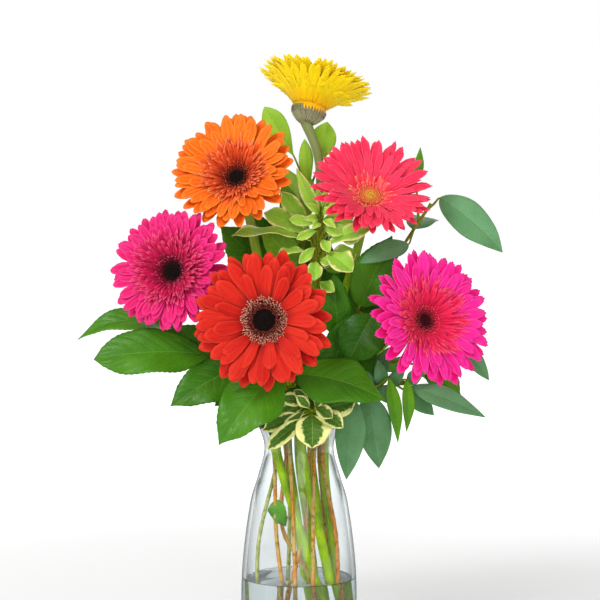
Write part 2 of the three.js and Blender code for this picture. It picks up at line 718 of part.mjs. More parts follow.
function waterGeometry() {
  const [inward, raised] = FLOOR_FILLET;
  const wall = innerSide.filter((point) => point.y < WATER_LEVEL).map((point) => [point.x, point.y + GAP]);
  const profile = [
    [GAP, VASE_FLOOR + GAP], [wall[0][0] - inward, VASE_FLOOR + raised + GAP],
    ...wall, [innerRadiusAt(WATER_LEVEL), WATER_LEVEL], [GAP, WATER_LEVEL],
  ];
  const body = toSolid(turned(profile.map(([radius, height]) => flat([radius - GAP, height])), VASE_SIDES));
  const holes = [
    ...BLOOMS.map((bloom) => tube(stemPath(bloom), STEM_RADIUS + GAP, STEM_SIDES, STEM_STEP)),
    ...SPRAYS.map((spray) => tube(spray.path, TWIG_RADIUS + GAP, TWIG_SIDES, TWIG_STEP)),
  ].map(toSolid);
  return fromSolid(holes.reduce((rest, next) => rest.subtract(next), body));
}

// Assembly
const bunch = new THREE.Group();

function addPiece(name, geometry, colour, roughness = 0.6, extra = {}) {
  const material = new THREE.MeshStandardMaterial({ color: colour, roughness, metalness: 0, ...extra });
  const mesh = new THREE.Mesh(geometry, material);
  mesh.name = name;
  bunch.add(mesh);
  return mesh;
}

addPiece('vase', vaseGeometry(), COLOURS.glass, 0.05, { transparent: true, opacity: 0.3 });
addPiece('water', waterGeometry(), COLOURS.water, 0.05, { transparent: true, opacity: 0.3 });

for (const bloom of BLOOMS) {
  const placement = bloomPlacement(bloom);
  addPiece(`${bloom.name}_stem`, stemGeometry(bloom), COLOURS.stem);
  addPiece(`${bloom.name}_petals`, petalsGeometry(bloom), bloom.colour).applyMatrix4(placement);
  addPiece(`${bloom.name}_disc`, discGeometry(), bloom.discColour, 0.8).applyMatrix4(placement);
}

for (const spray of SPRAYS) {
  addPiece(spray.name, sprayGeometry(spray), spray.colour, 0.45);
}

export default bunch;
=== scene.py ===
"""Six gerberas and mixed greens in a clear glass vase, dressed around their solids.

Shapes are worked out in millimetres, +Z up, and scaled to metres as each piece is finished.
"""

import math
from collections import namedtuple

import bmesh
import bpy
from mathutils import Matrix, Vector


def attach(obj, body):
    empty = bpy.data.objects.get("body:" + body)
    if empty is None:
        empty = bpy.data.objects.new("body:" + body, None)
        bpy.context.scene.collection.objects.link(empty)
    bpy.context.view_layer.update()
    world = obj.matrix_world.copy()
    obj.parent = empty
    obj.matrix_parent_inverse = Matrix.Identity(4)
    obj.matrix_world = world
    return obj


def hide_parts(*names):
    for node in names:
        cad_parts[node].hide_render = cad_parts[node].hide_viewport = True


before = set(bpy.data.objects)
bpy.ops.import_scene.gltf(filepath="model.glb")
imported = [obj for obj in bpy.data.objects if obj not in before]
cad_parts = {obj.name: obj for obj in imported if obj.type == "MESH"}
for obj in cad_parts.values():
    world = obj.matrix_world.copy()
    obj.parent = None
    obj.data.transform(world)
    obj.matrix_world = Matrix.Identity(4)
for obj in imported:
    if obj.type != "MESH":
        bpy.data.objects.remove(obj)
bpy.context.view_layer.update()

bl_info = {
    "name": "Gerberas in a Vase",
    "version": (1, 0, 0),
    "blender": (4, 5, 0),
    "location": "3D View > Sidebar > Gerberas",
    "description": "Builds six gerberas and mixed greens standing in a clear glass vase",
    "category": "Add Mesh",
}

MM = 0.001
BLACK = (0.0, 0.0, 0.0)

# Material slots of the petals of a bloom, and of a leafy stem.
RAY, INNER = 0, 1
BLADE, BARK, NARROW = 0, 1, 2

# A bloom, lying flat round its own origin: the top of its hub, the walls of the hub that the petals
# grow from, as radius and height, the reach of its eye, the buds in it and the depth of its green cup.
HUB_TOP = 5.6
LOWER_WALL, UPPER_WALL, INNER_WALL = (12.8, 1.0), (12.3, 3.0), (11.5, 4.8)
EYE, BUDS = 8.5, 190
CUP = 13

# Where the two furrows run along a ray petal, as a share of the way from its middle to its edge.
FURROW = 0.36

# Draws: each bloom has its own seeds for its petals, and further ones for its stem and its eye.
SEEDS, STEM_SEEDS, EYE_SEEDS = 1000, 5000, 7000
GOLDEN_ANGLE = math.pi * (3 - math.sqrt(5))

# Heights where the flower stems stand and where they pass the neck of the vase.
STEM_FOOT, STEM_NECK = 13, 150

# Blooms: where the disc is, degrees turned right of the front and lifted up, the petals on the hub, the way
# of the stem, the build of a petal, further rows of ray petals and inner florets as (count, reach, lift over
# the row under it, width), rings of bristles as (radius, length, count, lean), and the colours. The root colour
# is partly the petals' own deeper base and partly painted shade where they overlap, the edge colour partly their
# own paler rims and partly painted highlight, and groove how strongly painted shade darkens the two furrows.
Bloom = namedtuple(
    "Bloom", "disc turn lift radius pairs width rise foot neck way cup tooth tip curl shag rays inner fringe "
    "root edge groove soft floret eye bud bristle")
BLACK_BUD = ((12, 6, 5), (24, 13, 11), (44, 26, 22))
BLOOMS = {
    "red": Bloom(
        disc=(-26, -85, 262), turn=-10, lift=5, radius=53.5, pairs=16, width=11.8, rise=9, foot=(32, -9),
        neck=(3, -19.5), way=((1, -25, 182), (-11, -39, 222), (-20, -51, 250)), cup=-0.34, tooth=0.0, tip=0.2,
        curl=-0.06, shag=1.3,
        rays=((17, 48, 2.6, 10.8), (13, 40, 4.0, 9.4)), inner=(),
        fringe=((9.2, 3.0, 64, 0), (10.0, 3.4, 74, 4), (10.9, 3.8, 82, 9), (11.8, 4.0, 90, 14), (12.7, 4.1, 96, 20),
            (13.6, 4.1, 102, 27), (14.5, 4.0, 106, 34), (15.3, 3.8, 108, 42), (16.0, 3.6, 108, 50)),
        root=(124, 6, 4), edge=(244, 70, 44), groove=0.16, soft=0.08,
        floret=((120, 10, 6), (180, 30, 20), (226, 120, 90)),
        eye="dark_disc", bud=("black bud", *BLACK_BUD),
        bristle=("brown bristle", (84, 22, 14), (164, 76, 62), (238, 178, 150))),
    "orange": Bloom(
        disc=(-49, -16, 370.5), turn=-15, lift=27, radius=49.5, pairs=18, width=10.4, rise=16.5, foot=(10, 12),
        neck=(-9, 5), way=((-13, 7, 190), (-25, 9, 260), (-37, 8, 325)), cup=0.05, tooth=0.012, tip=0.2, curl=-0.04,
        shag=1.0,
        rays=((20, 45, 1.2, 9.4), (16, 38, 2.2, 8.2)),
        inner=((44, 30, 3.0, 2.2), (50, 27, 4.4, 2.1), (54, 24.5, 5.6, 2.0), (54, 22, 6.2, 2.0), (52, 19.5, 6.2, 1.9),
            (48, 17, 5.2, 1.8), (40, 15, 4.2, 1.8)),
        fringe=((6.6, 2.6, 34, 2), (7.6, 3.2, 40, 6), (8.8, 4.0, 50, 10), (10.2, 4.6, 58, 18), (11.8, 4.8, 62, 28),
            (13.4, 4.8, 62, 38)),
        root=(206, 56, 4), edge=(253, 146, 50), groove=0.4, soft=0.08,
        floret=((128, 18, 6), (238, 84, 30), (250, 158, 100)),
        eye="dark_disc", bud=("dark brown bud", *BLACK_BUD, (112, 40, 22)),
        bristle=("rust bristle", (60, 12, 8), (150, 44, 20), (236, 140, 90))),
    "coral": Bloom(
        disc=(55.6, -25, 355.6), turn=11, lift=40, radius=48.5, pairs=21, width=8.0, rise=16, foot=(28, 14),
        neck=(10, 6), way=((14, 8, 190), (30, 8, 255), (47, 3, 315)), cup=0.1, tooth=0.035, tip=0.32, curl=-0.03,
        shag=1.1,
        rays=((24, 46, 1.0, 7.4), (24, 42, 1.8, 6.8), (22, 35, 2.2, 5.6), (24, 28, 2.0, 4.2)),
        inner=((50, 20, 1.8, 1.7), (54, 18, 2.2, 1.6), (50, 16, 2.2, 1.5)),
        fringe=((5.0, 2.0, 24, 2), (6.0, 2.5, 32, 6), (7.2, 3.0, 42, 12), (8.6, 3.5, 52, 20), (10.2, 3.7, 58, 32),
            (12.0, 3.8, 64, 44), (13.8, 3.6, 66, 54), (15.6, 3.4, 66, 62)),
        root=(232, 44, 60), edge=(255, 92, 118), groove=0.3, soft=0.08,
        floret=((246, 60, 90), (255, 112, 100), (255, 186, 130)),
        eye="gold_disc", bud=("gold bud", (206, 140, 34), (240, 196, 56), (255, 222, 110), (244, 110, 84), 0.3),
        bristle=("peach bristle", (232, 96, 70), (246, 124, 90), (253, 190, 130))),
    "magenta": Bloom(
        disc=(-98.2, -40, 297.2), turn=-19, lift=13, radius=49.5, pairs=18, width=9.6, rise=9, foot=(24, -23),
        neck=(-17, -11), way=((-20, -12, 182), (-38, -8, 225), (-64, -3, 262), (-82, -4, 285)), cup=0.1, tooth=0.02,
        tip=0.16, curl=-0.05, shag=1.1,
        rays=((22, 46, 1.6, 8.6), (22, 41, 2.8, 7.6), (20, 36, 4.2, 6.2)),
        inner=((46, 32, 5.6, 2.6), (52, 29, 7.2, 2.3), (56, 26, 8.4, 2.1), (58, 23, 8.8, 2.0), (56, 20, 8.4, 1.9),
            (52, 17.5, 7.4, 1.8), (44, 15, 6.0, 1.8)),
        fringe=((8.2, 3.4, 40, 2), (9.2, 4.6, 50, 4), (10.4, 5.6, 58, 10), (11.8, 6.2, 60, 20)),
        root=(150, 4, 50), edge=(246, 70, 152), groove=0.5, soft=0.08,
        floret=((104, 2, 28), (216, 22, 84), (248, 100, 150)),
        eye="dark_disc", bud=("dark plum bud", *BLACK_BUD, (96, 24, 40)),
        bristle=("plum bristle", (60, 6, 24), (150, 18, 56), (236, 120, 150))),
    "pink": Bloom(
        disc=(97, -50, 259.3), turn=30, lift=17, radius=54.5, pairs=19, width=10, rise=13, foot=(33, 3),
        neck=(19.5, -5), way=((24, -5, 183), (50, -8, 220), (76, -18, 246)), cup=0.1, tooth=0.035, tip=0.2, curl=-0.03,
        shag=1.1,
        rays=((22, 50, 1.0, 9), (24, 46, 1.8, 8.4), (22, 40, 2.4, 7)),
        inner=((50, 33, 3.0, 2.4), (56, 30, 3.8, 2.2), (60, 27, 4.4, 2.0), (62, 24, 4.6, 1.9), (60, 21, 4.6, 1.8),
            (56, 18, 4.2, 1.8), (46, 15, 3.6, 1.7)),
        fringe=((5.6, 2.4, 28, 2), (6.8, 3.0, 38, 6), (8.2, 3.8, 48, 12), (9.8, 4.4, 56, 22), (11.4, 4.6, 60, 34),
            (13.0, 4.6, 62, 44)),
        root=(214, 10, 80), edge=(255, 74, 176), groove=0.4, soft=0.08,
        floret=((196, 10, 54), (246, 40, 92), (255, 104, 140)),
        eye="dark_disc", bud=("dark rose bud", (34, 4, 10), (70, 10, 20), (120, 30, 40), (168, 50, 66), 0.4),
        bristle=("rose bristle", (110, 10, 30), (204, 44, 72), (244, 130, 140))),
    "yellow": Bloom(
        disc=(9.5, 12.4, 431.5), turn=139, lift=70.5, radius=45.5, pairs=36, width=7.0, rise=21.5, foot=(17, 5),
        neck=(0, 1), way=((2, 3, 200), (12, 4, 290), (17, 1, 360), (15.2, 0, 388)), cup=0.1, tooth=0.05, tip=0.4,
        curl=-0.02, shag=1.5,
        rays=((24, 32, -9.0, 5.2), (24, 38, -7.0, 5.6), (30, 43, -3.0, 6.6), (28, 45, -1.4, 7), (28, 42, 0.2, 7),
            (24, 36, 1.6, 6)),
        inner=((34, 26, 2.6, 2.6), (34, 21, 2.8, 2.2), (32, 17, 2.8, 2.0)),
        fringe=((6.4, 2.4, 30, 4), (8.0, 3.0, 38, 10), (9.8, 3.6, 44, 20), (11.8, 3.8, 48, 34)),
        root=(248, 186, 0), edge=(255, 226, 40), groove=0.2, soft=0.3,
        floret=((246, 186, 4), (255, 216, 4), (255, 234, 70)),
        eye="gold_disc", bud=("yellow bud", (200, 140, 10), (244, 196, 30), (255, 226, 90)),
        bristle=("yellow bristle", (220, 160, 20), (246, 206, 40), (255, 240, 130))),
}

# Leaf outlines: where the blade is widest, how full its sides are, and its cross stations.
OUTLINES = {
    "ovate": (0.4, 0.8, (0, 0.2, 0.5, 0.82, 1)),
    "broad": (0.56, 0.7, (0, 0.2, 0.5, 0.78, 0.94, 1)),
    "lance": (0.42, 1.0, (0, 0.25, 0.65, 1)),
    "spoon": (0.62, 0.8, (0, 0.3, 0.6, 0.86, 1)),
    "round": (0.5, 0.6, (0, 0.2, 0.5, 0.82, 1)),
}
FRONT, SKY, BACK, PLAIN = (0, -0.85, 0.5), (0, -0.35, 0.93), (0, 0.6, 0.8), (0, -0.97, 0.25)

# Leafy stems: the path of the twig, then its leaves as (share of the twig, base, tip, width, face, arch, fold,
# wave, outline, shade). The shade runs from -1, dark, to 1, light: partly each leaf's own tone, partly painted
# shade for leaves deep in and low under the bouquet and painted light for upper pittosporum leaves in the blooms'
# shadow.
SALAL = {
    "salal_left": (
        ((-9, -18, 13), (-18, -13, 88), (-20, -3, 150), (-24, -6, 174), (-41, -17, 203), (-66, -28, 229)),
        ((0.985, (-68, -29, 231), (-160, -46, 229), 42, FRONT, 9, 12, 1.2, "broad", 0.15),
         (0.86, (-47, -30, 222), (-100, -52, 193), 38, (-0.2, -0.9, 0.3), 6, 10, 1.2, "ovate", -0.35))),
    "salal_back_left": (
        ((-33, -3, 13), (-33, 3, 75), (-18, 10, 150), (-25, 13, 176), (-52, 9, 215), (-90, 6, 243)),
        ((0.985, (-94, 6, 246), (-178, 4, 241), 30, (0.1, -0.6, 0.8), 17, 22, 1, "ovate", 1),
         (0.86, (-66, 18, 226), (-118, 62, 212), 38, (-0.2, 0.4, 0.9), 8, 12, 1.5, "ovate", 0),
         (0.7, (-38, 24, 200), (-62, 80, 178), 38, BACK, 8, 12, 1.5, "ovate", -0.2))),
    "salal_front": (
        ((-2, -30, 13), (-4, -27, 85), (-7, -18.5, 150), (-9, -24, 178), (-10, -41, 203), (-12, -53, 221)),
        ((0.985, (-17, -60, 220), (-61, -86, 167), 48, (-0.25, -0.85, 0.3), 6, 9, 1.5, "ovate", 0.4),
         (0.97, (-1, -53, 218), (66, -66, 199), 44, (0.1, -0.78, 0.62), 8, 6, 2.2, "ovate", 0.65))),
    "salal_right": (
        ((24, 7, 13), (22, 5, 85), (16, 2, 150), (19, 3, 190), (30, 0, 232), (50, -9, 264)),
        ((0.985, (58, -26, 263), (39, -36, 226), 38, (-0.1, -0.95, 0.2), 4, 8, 1, "round", -0.85),
         (0.97, (48, -9, 268), (74, -12, 325), 36, (0.1, -0.95, 0.25), 5, 12, 1.2, "ovate", 0.3),
         (0.86, (31, -10, 245), (28, -20, 296), 26, (-0.1, -0.95, 0.2), 4, 10, 1, "ovate", -0.5))),
    "salal_back_right": (
        ((8, 28, 13), (6, 22, 85), (4, 17, 150), (8, 24, 180), (40, 27, 208), (84, 12, 224)),
        ((0.985, (102, 4, 220), (131, -2, 187), 24, (0.3, -0.8, 0.5), 4, 10, 1.2, "ovate", 0.6),
         (0.86, (56, 36, 216), (88, 84, 204), 38, (0.2, 0.5, 0.85), 8, 12, 1.5, "ovate", 0),
         (0.74, (28, 38, 206), (30, 96, 188), 40, BACK, 8, 12, 1.5, "ovate", -0.2))),
    "salal_back": (
        ((-10, 26, 13), (-8, 22, 85), (-7, 17, 150), (-10, 24, 185), (-18, 36, 232), (-14, 42, 276)),
        ((0.985, (-24, 34, 294), (-64, 20, 332), 34, (-0.1, -0.9, 0.4), 3, 8, 1, "ovate", -0.2),
         (0.985, (-12, 46, 286), (4, 66, 340), 34, (0, 0.9, 0.4), 7, 12, 1.5, "ovate", 0),
         (0.92, (-26, 48, 262), (-72, 74, 282), 36, (-0.2, 0.7, 0.7), 7, 12, 1.5, "ovate", 0.1),
         (0.86, (-6, 50, 246), (36, 84, 256), 36, (0.2, 0.7, 0.7), 7, 12, 1.5, "ovate", -0.1),
         (0.78, (-20, 46, 222), (-34, 96, 228), 36, (0, 0.5, 0.87), 8, 12, 1.5, "ovate", 0))),
}
PITTOSPORUM = {
    "pittosporum_upper": (
        ((-10, -9, 13), (-6, -12, 45), (6, -6, 97), (8, -9, 150), (9, -13, 195), (12, -15, 250), (14, -15, 298),
         (18, -11, 346)),
        ((0.86, (9, -17, 321), (-53, -26, 325), 21, SKY, 5, 14, 1.4, "spoon", 0.4),
         (0.87, (8, -12, 325), (-28, -8, 343), 18, FRONT, 4, 12, 1.2, "spoon", 0.2),
         (0.83, (7, -20, 312), (-17, -30, 309), 14, SKY, 3, 10, 1, "spoon", 0.5),
         (0.96, (16, -12, 341), (-2, -14, 378), 12, (-0.3, -0.9, 0.2), 3, 14, 0.8, "lance", 1),
         (0.85, (21, -18, 317), (60, -32, 333), 15, FRONT, 4, 12, 1, "spoon", 0.3),
         (0.83, (21, -21, 312), (42, -38, 297), 20, FRONT, 3, 8, 1.6, "spoon", 0.1),
         (0.8, (13, -22, 305), (12, -37, 290), 13, FRONT, 3, 10, 1, "spoon", 0.3),
         (0.985, (18, -12, 348), (14, -19, 362), 8, FRONT, 1, 12, 0, "lance", 1),
         (0.985, (20, -12, 347), (31, -22, 356), 8, FRONT, 1, 12, 0, "lance", 1),
         (0.94, (20, -7, 333), (39, -6, 341), 16, FRONT, 2, 10, 1, "spoon", 0.4),
         (0.9, (20, -3, 322), (33, 26, 330), 15, (0.2, 0.2, 0.95), 4, 12, 1, "spoon", 0.2),
         (0.8, (18, -2, 298), (30, 30, 290), 15, (0.1, 0.2, 0.95), 4, 12, 1, "spoon", 0.2))),
    "pittosporum_lower": (
        ((10, -33, 13), (11, -30, 60), (11, -27, 100), (12, -18, 150), (13, -26, 181), (11, -43, 191), (10, -58, 190)),
        ((0.985, (10, -62, 187), (10, -75, 163), 28, (0.1, -0.85, 0.5), 3, 6, 2.2, "round", -0.8),
         (0.975, (6, -61, 186), (-24, -74, 162), 15, FRONT, 3, 12, 1.4, "spoon", -0.8),
         (0.98, (15, -56, 190), (44, -54, 197), 21, (0, -0.95, 0.3), 3, 10, 1.6, "round", -0.7),
         (0.98, (5, -57, 188), (-28, -60, 175), 14, FRONT, 3, 12, 1, "spoon", -0.8),
         (0.96, (8, -52, 194), (-4, -54, 206), 10, FRONT, 2, 14, 0.8, "spoon", -0.6))),
}
EUCALYPTUS = {
    "eucalyptus_low": (
        ((31, -20, 13), (29, -14, 85), (18, -11, 150), (22.5, -12.5, 176), (48, -20, 200), (84, -14, 208),
         (112, -4, 222), (128, 0, 236)),
        ((0.66, (43, -39, 196), (37, -47, 135), 24, (-0.1, -0.95, 0.1), 3, 8, 0, "ovate", 0.1),
         (0.69, (55, -29, 199), (63, -34, 142), 29, (0.1, -0.95, 0.1), 3, 8, 0, "ovate", -0.3),
         (0.72, (71, -28, 213), (78, -32, 162), 12, (0.2, -0.95, 0.1), 5, 14, 0, "lance", 1),
         (0.77, (85, -25, 212), (85, -26, 170), 11, (0.3, -0.95, 0.1), 4, 14, 0, "lance", 1),
         (0.81, (88, -17, 205), (148, -22, 181), 19, FRONT, 5, 8, 0, "lance", 0.3),
         (0.79, (86, -9, 201), (108, -7, 181), 16, FRONT, 2, 8, 0, "ovate", -0.4),
         (0.985, (130, 1, 237), (153, 5, 208), 15, (0.3, -0.9, 0.3), 3, 8, 0, "ovate", -0.1),
         (0.88, (98, 4, 212), (118, 44, 196), 24, (0.3, 0.4, 0.87), 5, 8, 0, "ovate", 0))),
    "eucalyptus_right": (
        ((24, 24, 13), (22, 18, 85), (18, 11, 150), (24, 14, 190), (48, 14, 250), (80, 9, 310), (106, 6, 350)),
        ((0.985, (113, 5, 355), (163, 0, 311), 30, (0.2, -0.93, 0.3), 7, 8, 0, "ovate", 0.45),
         (0.93, (87, -13, 318), (47, -24, 303), 18, FRONT, 4, 8, 0, "ovate", 0),
         (0.95, (94, 4, 368), (97, 2, 395), 9, (0.3, -0.9, 0.2), 1, 12, 0, "lance", 0.9),
         (0.82, (68, 24, 284), (94, 62, 292), 24, (0.2, 0.4, 0.9), 5, 8, 0, "ovate", 0),
         (0.93, (92, 16, 330), (112, 52, 336), 24, (0.3, 0.2, 0.9), 5, 8, 0, "ovate", 0))),
}
TOP_GREENS = {
    "greens_top": (
        ((14, -6, 13), (8, -4, 51), (-13, -6, 89), (-10, -4, 150), (-8, -2, 200), (-3, 4, 260), (4, 8, 320),
         (9, 14, 366)),
        ((0.86, (2, 6, 318), (-13, 8, 368), 21, (-0.1, -0.98, 0.1), 2, 10, 0, "ovate", -0.7),
         (0.97, (8, 12, 358), (4.5, 12, 402), 12, (-0.2, -0.95, 0.1), 2, 8, 0.6, "spoon", 0.4),
         (0.985, (15, 15, 380), (23, 18, 416), 20, (0.1, -0.95, 0.2), 2, 6, 1, "spoon", 1),
         (0.985, (-4, 17, 388), (-28, 17, 428), 21, (-0.2, -0.95, 0.2), 3, 8, 1, "spoon", 0.4),
         (0.93, (2, 22, 345), (-14, 50, 378), 20, (0, 0.7, 0.7), 4, 10, 1, "spoon", 0.3))),
}

# Small and inner leaves that the solids leave out, by their (face, arch, fold, wave, outline), each as
# (share of the twig, base, tip, width, shade). The low shades of the leaves deep inside and under the bouquet
# are painted shade, and the high ones of the upper pittosporum leaves are partly painted light.
INNER_LEAVES = {
    "pittosporum_upper": {
        (PLAIN, 1, 12, 0.4, "lance"): (
            (0.985, (19, -14, 347), (22, -24, 364), 6, 1),),
        (PLAIN, 2, 12, 0.4, "lance"): (
            (0.97, (20, -15, 343), (38, -27, 352), 7, 1), (0.96, (21, -16, 339), (41, -29, 342), 8, 0.9),
            (0.97, (16, -15, 343), (4, -27, 351), 7, 1), (0.96, (15, -16, 338), (3, -29, 338), 7, 0.8),
            (0.96, (20, -18, 338), (29, -33, 331), 7, 0.9), (0.97, (19, -17, 342), (27, -33, 347), 7, 1),
            (0.95, (16, -18, 335), (10, -32, 330), 7, 0.7), (0.97, (21, -14, 346), (36, -22, 366), 8, 1)),
        (PLAIN, 2, 12, 0.6, "spoon"): (
            (0.92, (20, -16, 330), (34, -28, 326), 9, 0.5), (0.92, (14, -17, 329), (-2, -27, 322), 8, 0.6),
            (0.89, (18, -17, 322), (24, -31, 312), 9, 0.3), (0.86, (13, -18, 316), (0, -30, 303), 9, 0.2),
            (0.94, (13, -16, 334), (-8, -22, 338), 10, 0.9), (0.95, (22, -15, 336), (44, -24, 334), 12, 0.7),
            (0.82, (17, -18, 306), (27, -31, 303), 10, 0.1), (0.78, (12, -18, 296), (1, -30, 286), 10, 0.1),
            (0.75, (16, -17, 288), (28, -28, 281), 11, -0.1)),
        (PLAIN, 3, 10, 1.0, "spoon"): (
            (0.92, (24, -8, 330), (49, -6, 322), 17, -0.1), (0.88, (23, -6, 320), (43, 2, 350), 15, -0.3),
            (0.8, (20, -4, 302), (46, 2, 312), 18, -0.2), (0.9, (10, -8, 326), (-14, 0, 360), 15, 0.1)),
    },
    "salal_back": {
        (PLAIN, 4, 8, 1.2, "ovate"): (
            (0.9, (-10, 34, 262), (-34, 24, 320), 44, -0.1), (0.92, (-2, 34, 268), (20, 26, 336), 42, -0.3),
            (0.82, (0, 34, 246), (40, 26, 302), 44, -0.2), (0.8, (-22, 36, 238), (-66, 26, 282), 42, 0.1),
            (0.96, (-15, 38, 284), (-40, 26, 346), 32, -0.3), (0.9, (-14, 40, 266), (-56, 28, 322), 30, 0.2)),
    },
    "salal_front": {
        (PLAIN, 3, 8, 1.2, "ovate"): (
            (0.9, (-9, -42, 206), (6, -50, 172), 30, -0.8), (0.88, (-12, -38, 204), (-22, -48, 168), 26, -0.7),
            (0.92, (-2, -44, 210), (34, -46, 188), 28, -0.7), (0.95, (-8, -44, 214), (28, -36, 242), 32, -0.6)),
    },
    "salal_left": {
        (PLAIN, 4, 8, 1.2, "ovate"): (
            (0.82, (-42, -22, 216), (-92, -34, 207), 34, -0.5), (0.78, (-36, -22, 210), (-66, -40, 192), 30, -0.5),
            (0.9, (-52, -24, 226), (-108, -22, 250), 32, -0.1)),
        ((-0.5, -0.8, 0.3), 3, 16, 1.6, "ovate"): (
            (0.42, (-19, -8, 113), (-10, -13, 93), 15, 1),),
    },
    "salal_right": {
        (PLAIN, 4, 8, 1.2, "ovate"): (
            (0.9, (46, -8, 254), (70, -14, 236), 26, -0.5), (0.84, (36, -4, 238), (60, -10, 214), 26, -0.3),
            (0.88, (40, 4, 250), (64, 12, 306), 40, -0.1), (0.7, (26, -4, 216), (40, -22, 262), 26, -0.6),
            (0.8, (34, -8, 236), (64, -22, 214), 30, -0.4)),
    },
    "eucalyptus_low": {
        (PLAIN, 3, 8, 0, "ovate"): (
            (0.7, (56, -12, 204), (72, -10, 236), 16, -0.3), (0.64, (36, -24, 196), (22, -40, 176), 14, 0.1),
            (0.72, (66, -18, 206), (62, -30, 228), 12, -0.5), (0.74, (72, -18, 206), (84, -30, 222), 11, -0.6),
            (0.7, (58, -20, 204), (44, -34, 222), 12, -0.4)),
        (PLAIN, 3, 8, 0, "lance"): (
            (0.71, (62, -20, 206), (76, -32, 190), 12, -0.4), (0.8, (86, -17, 208), (100, -26, 220), 11, 0.2)),
    },
    "pittosporum_lower": {
        (PLAIN, 2, 12, 1.2, "spoon"): (
            (0.96, (14, -56, 192), (34, -68, 178), 15, -0.7), (0.9, (6, -40, 190), (-12, -50, 172), 14, -0.8)),
        (PLAIN, 2, 12, 1.0, "spoon"): (
            (0.95, (12, -58, 194), (26, -70, 186), 12, -0.6), (0.93, (4, -48, 192), (-18, -58, 188), 13, -0.7),
            (0.88, (14, -38, 188), (22, -48, 168), 13, -0.8)),
        (PLAIN, 2, 12, 0.8, "spoon"): (
            (0.94, (14, -50, 196), (30, -60, 207), 13, -0.6), (0.93, (6, -48, 196), (-14, -60, 200), 12, -0.7),
            (0.9, (16, -42, 192), (34, -56, 184), 13, -0.6), (0.98, (8, -58, 192), (-2, -68, 203), 9, -0.3),
            (0.98, (13, -57, 193), (18, -68, 205), 9, -0.4), (0.97, (4, -56, 190), (-12, -68, 176), 10, -0.4)),
    },
    "greens_top": {
        (PLAIN, 2, 8, 0.6, "spoon"): (
            (0.9, (4, 4, 330), (10, 2, 370), 13, 0.3),),
        (PLAIN, 3, 8, 0.6, "ovate"): (
            (0.8, (0, 0, 300), (-30, 2, 330), 26, -0.4),),
    },
}
GREEN_TWIGS = ("salal_back_left", "salal_back", "salal_back_right", "eucalyptus_right")

# How the leaves of a plant are built: size of the mesh, teeth, side veins, their lean, the quilting between
# them, droop of the edges, sharpness of the point and sway of the blade, with a material for the pale ones.
Look = namedtuple("Look", "grain teeth veins lean quilt droop point sway narrow", defaults=(None,))

# Outer side of the vase, as radius and height.
VASE_SIDE = ((45, 10), (46.6, 33), (44.9, 68), (39.2, 110), (33.2, 131), (27.8, 155), (34, 175))

# Stage, in metres: half the width of the floor, the point that the lights face, the camera and what it faces.
FLOOR_REACH, LIT = 20, (0, 0, 0.28)
CAMERA, CAMERA_AIM = (0.0008, -1.6, 0.356), (0.0008, 0, 0.273)


def srgb(red, green, blue):
    """Linear colour for the eight-bit numbers that a screen shows."""
    return tuple(((c / 255 + 0.055) / 1.055) ** 2.4 if c > 10 else c / 255 / 12.92 for c in (red, green, blue))


def mixed(a, b, share):
    return tuple(x + (y - x) * share for x, y in zip(a, b))


def draw(seed):
    """A repeatable draw between -1 and 1 for each whole number."""
    value = math.sin(seed * 12.9898 + 4.1414) * 43758.5453
    return 2 * (value - math.floor(value)) - 1


def clamp(value, low=0.0, high=1.0):
    return max(low, min(high, value))


def compass(angle):
    """Directions outwards and sideways at an angle round Z."""
    return Vector((math.cos(angle), math.sin(angle), 0)), Vector((-math.sin(angle), math.cos(angle), 0))


# Sizes and colours that a user would change


def number(name, description, default, low=0, **more):
    return bpy.props.FloatProperty(name=name, description=description, min=low, default=default, **more)


def length(name, description, default):
    return number(name, description, default, unit="LENGTH", subtype="DISTANCE")


def colour(name, description, default):
    return bpy.props.FloatVectorProperty(
        name=name, description=description, subtype="COLOR", size=3, min=0, max=1, default=default)


class PetalSettings(bpy.types.PropertyGroup):
    """Colours and thickness of the petals"""

    red: colour("Red", "Ray petals of the red bloom", srgb(203, 22, 14))
    orange: colour("Orange", "Ray petals of the orange bloom", srgb(246, 106, 12))
    coral: colour("Coral", "Ray petals of the coral bloom", srgb(246, 40, 86))
    magenta: colour("Magenta", "Ray petals of the magenta bloom", srgb(230, 22, 108))
    pink: colour("Pink", "Ray petals of the hot pink bloom", srgb(255, 22, 150))
    yellow: colour("Yellow", "Ray petals of the yellow bloom", srgb(255, 222, 0))
    thickness: length("Thickness", "Thickness of a ray petal", 0.0005)


class GreenSettings(bpy.types.PropertyGroup):
    """Colours and sizes of stems, twigs and leaves"""

    stem: colour("Flower Stem", "Fresh green of the gerbera stems", srgb(166, 208, 6))
    bark: colour("Bark", "Brown of the woody twigs", srgb(206, 132, 44))
    salal: colour("Salal", "Upper side of the salal leaves", srgb(38, 112, 2))
    eucalyptus: colour("Eucalyptus", "Blue-green eucalyptus leaves", srgb(80, 144, 64))
    pittosporum: colour("Pittosporum", "Light green of the variegated leaves", srgb(120, 204, 20))
    cream: colour("Cream", "Margins of the variegated leaves", srgb(236, 234, 150))
    thickness: length("Leaf Thickness", "Thickness of a leaf blade", 0.0005)
    stem_radius: length("Stem Radius", "Radius of a gerbera stem", 0.0035)
    twig_radius: length("Twig Radius", "Radius of a leafy twig", 0.0017)


class VaseSettings(bpy.types.PropertyGroup):
    """The glass and the water"""

    height: length("Height", "Height of the vase", 0.175)
    wall: length("Wall", "Thickness of the glass", 0.0032)
    water_level: length("Water Level", "Height of the water over the table", 0.05)
    glass: colour("Glass", "Tint of the clear glass", (0.93, 0.96, 0.97))
    rim: colour("Glass Edge", "Tint of the glass where it is seen edge on", (0.14, 0.19, 0.17))


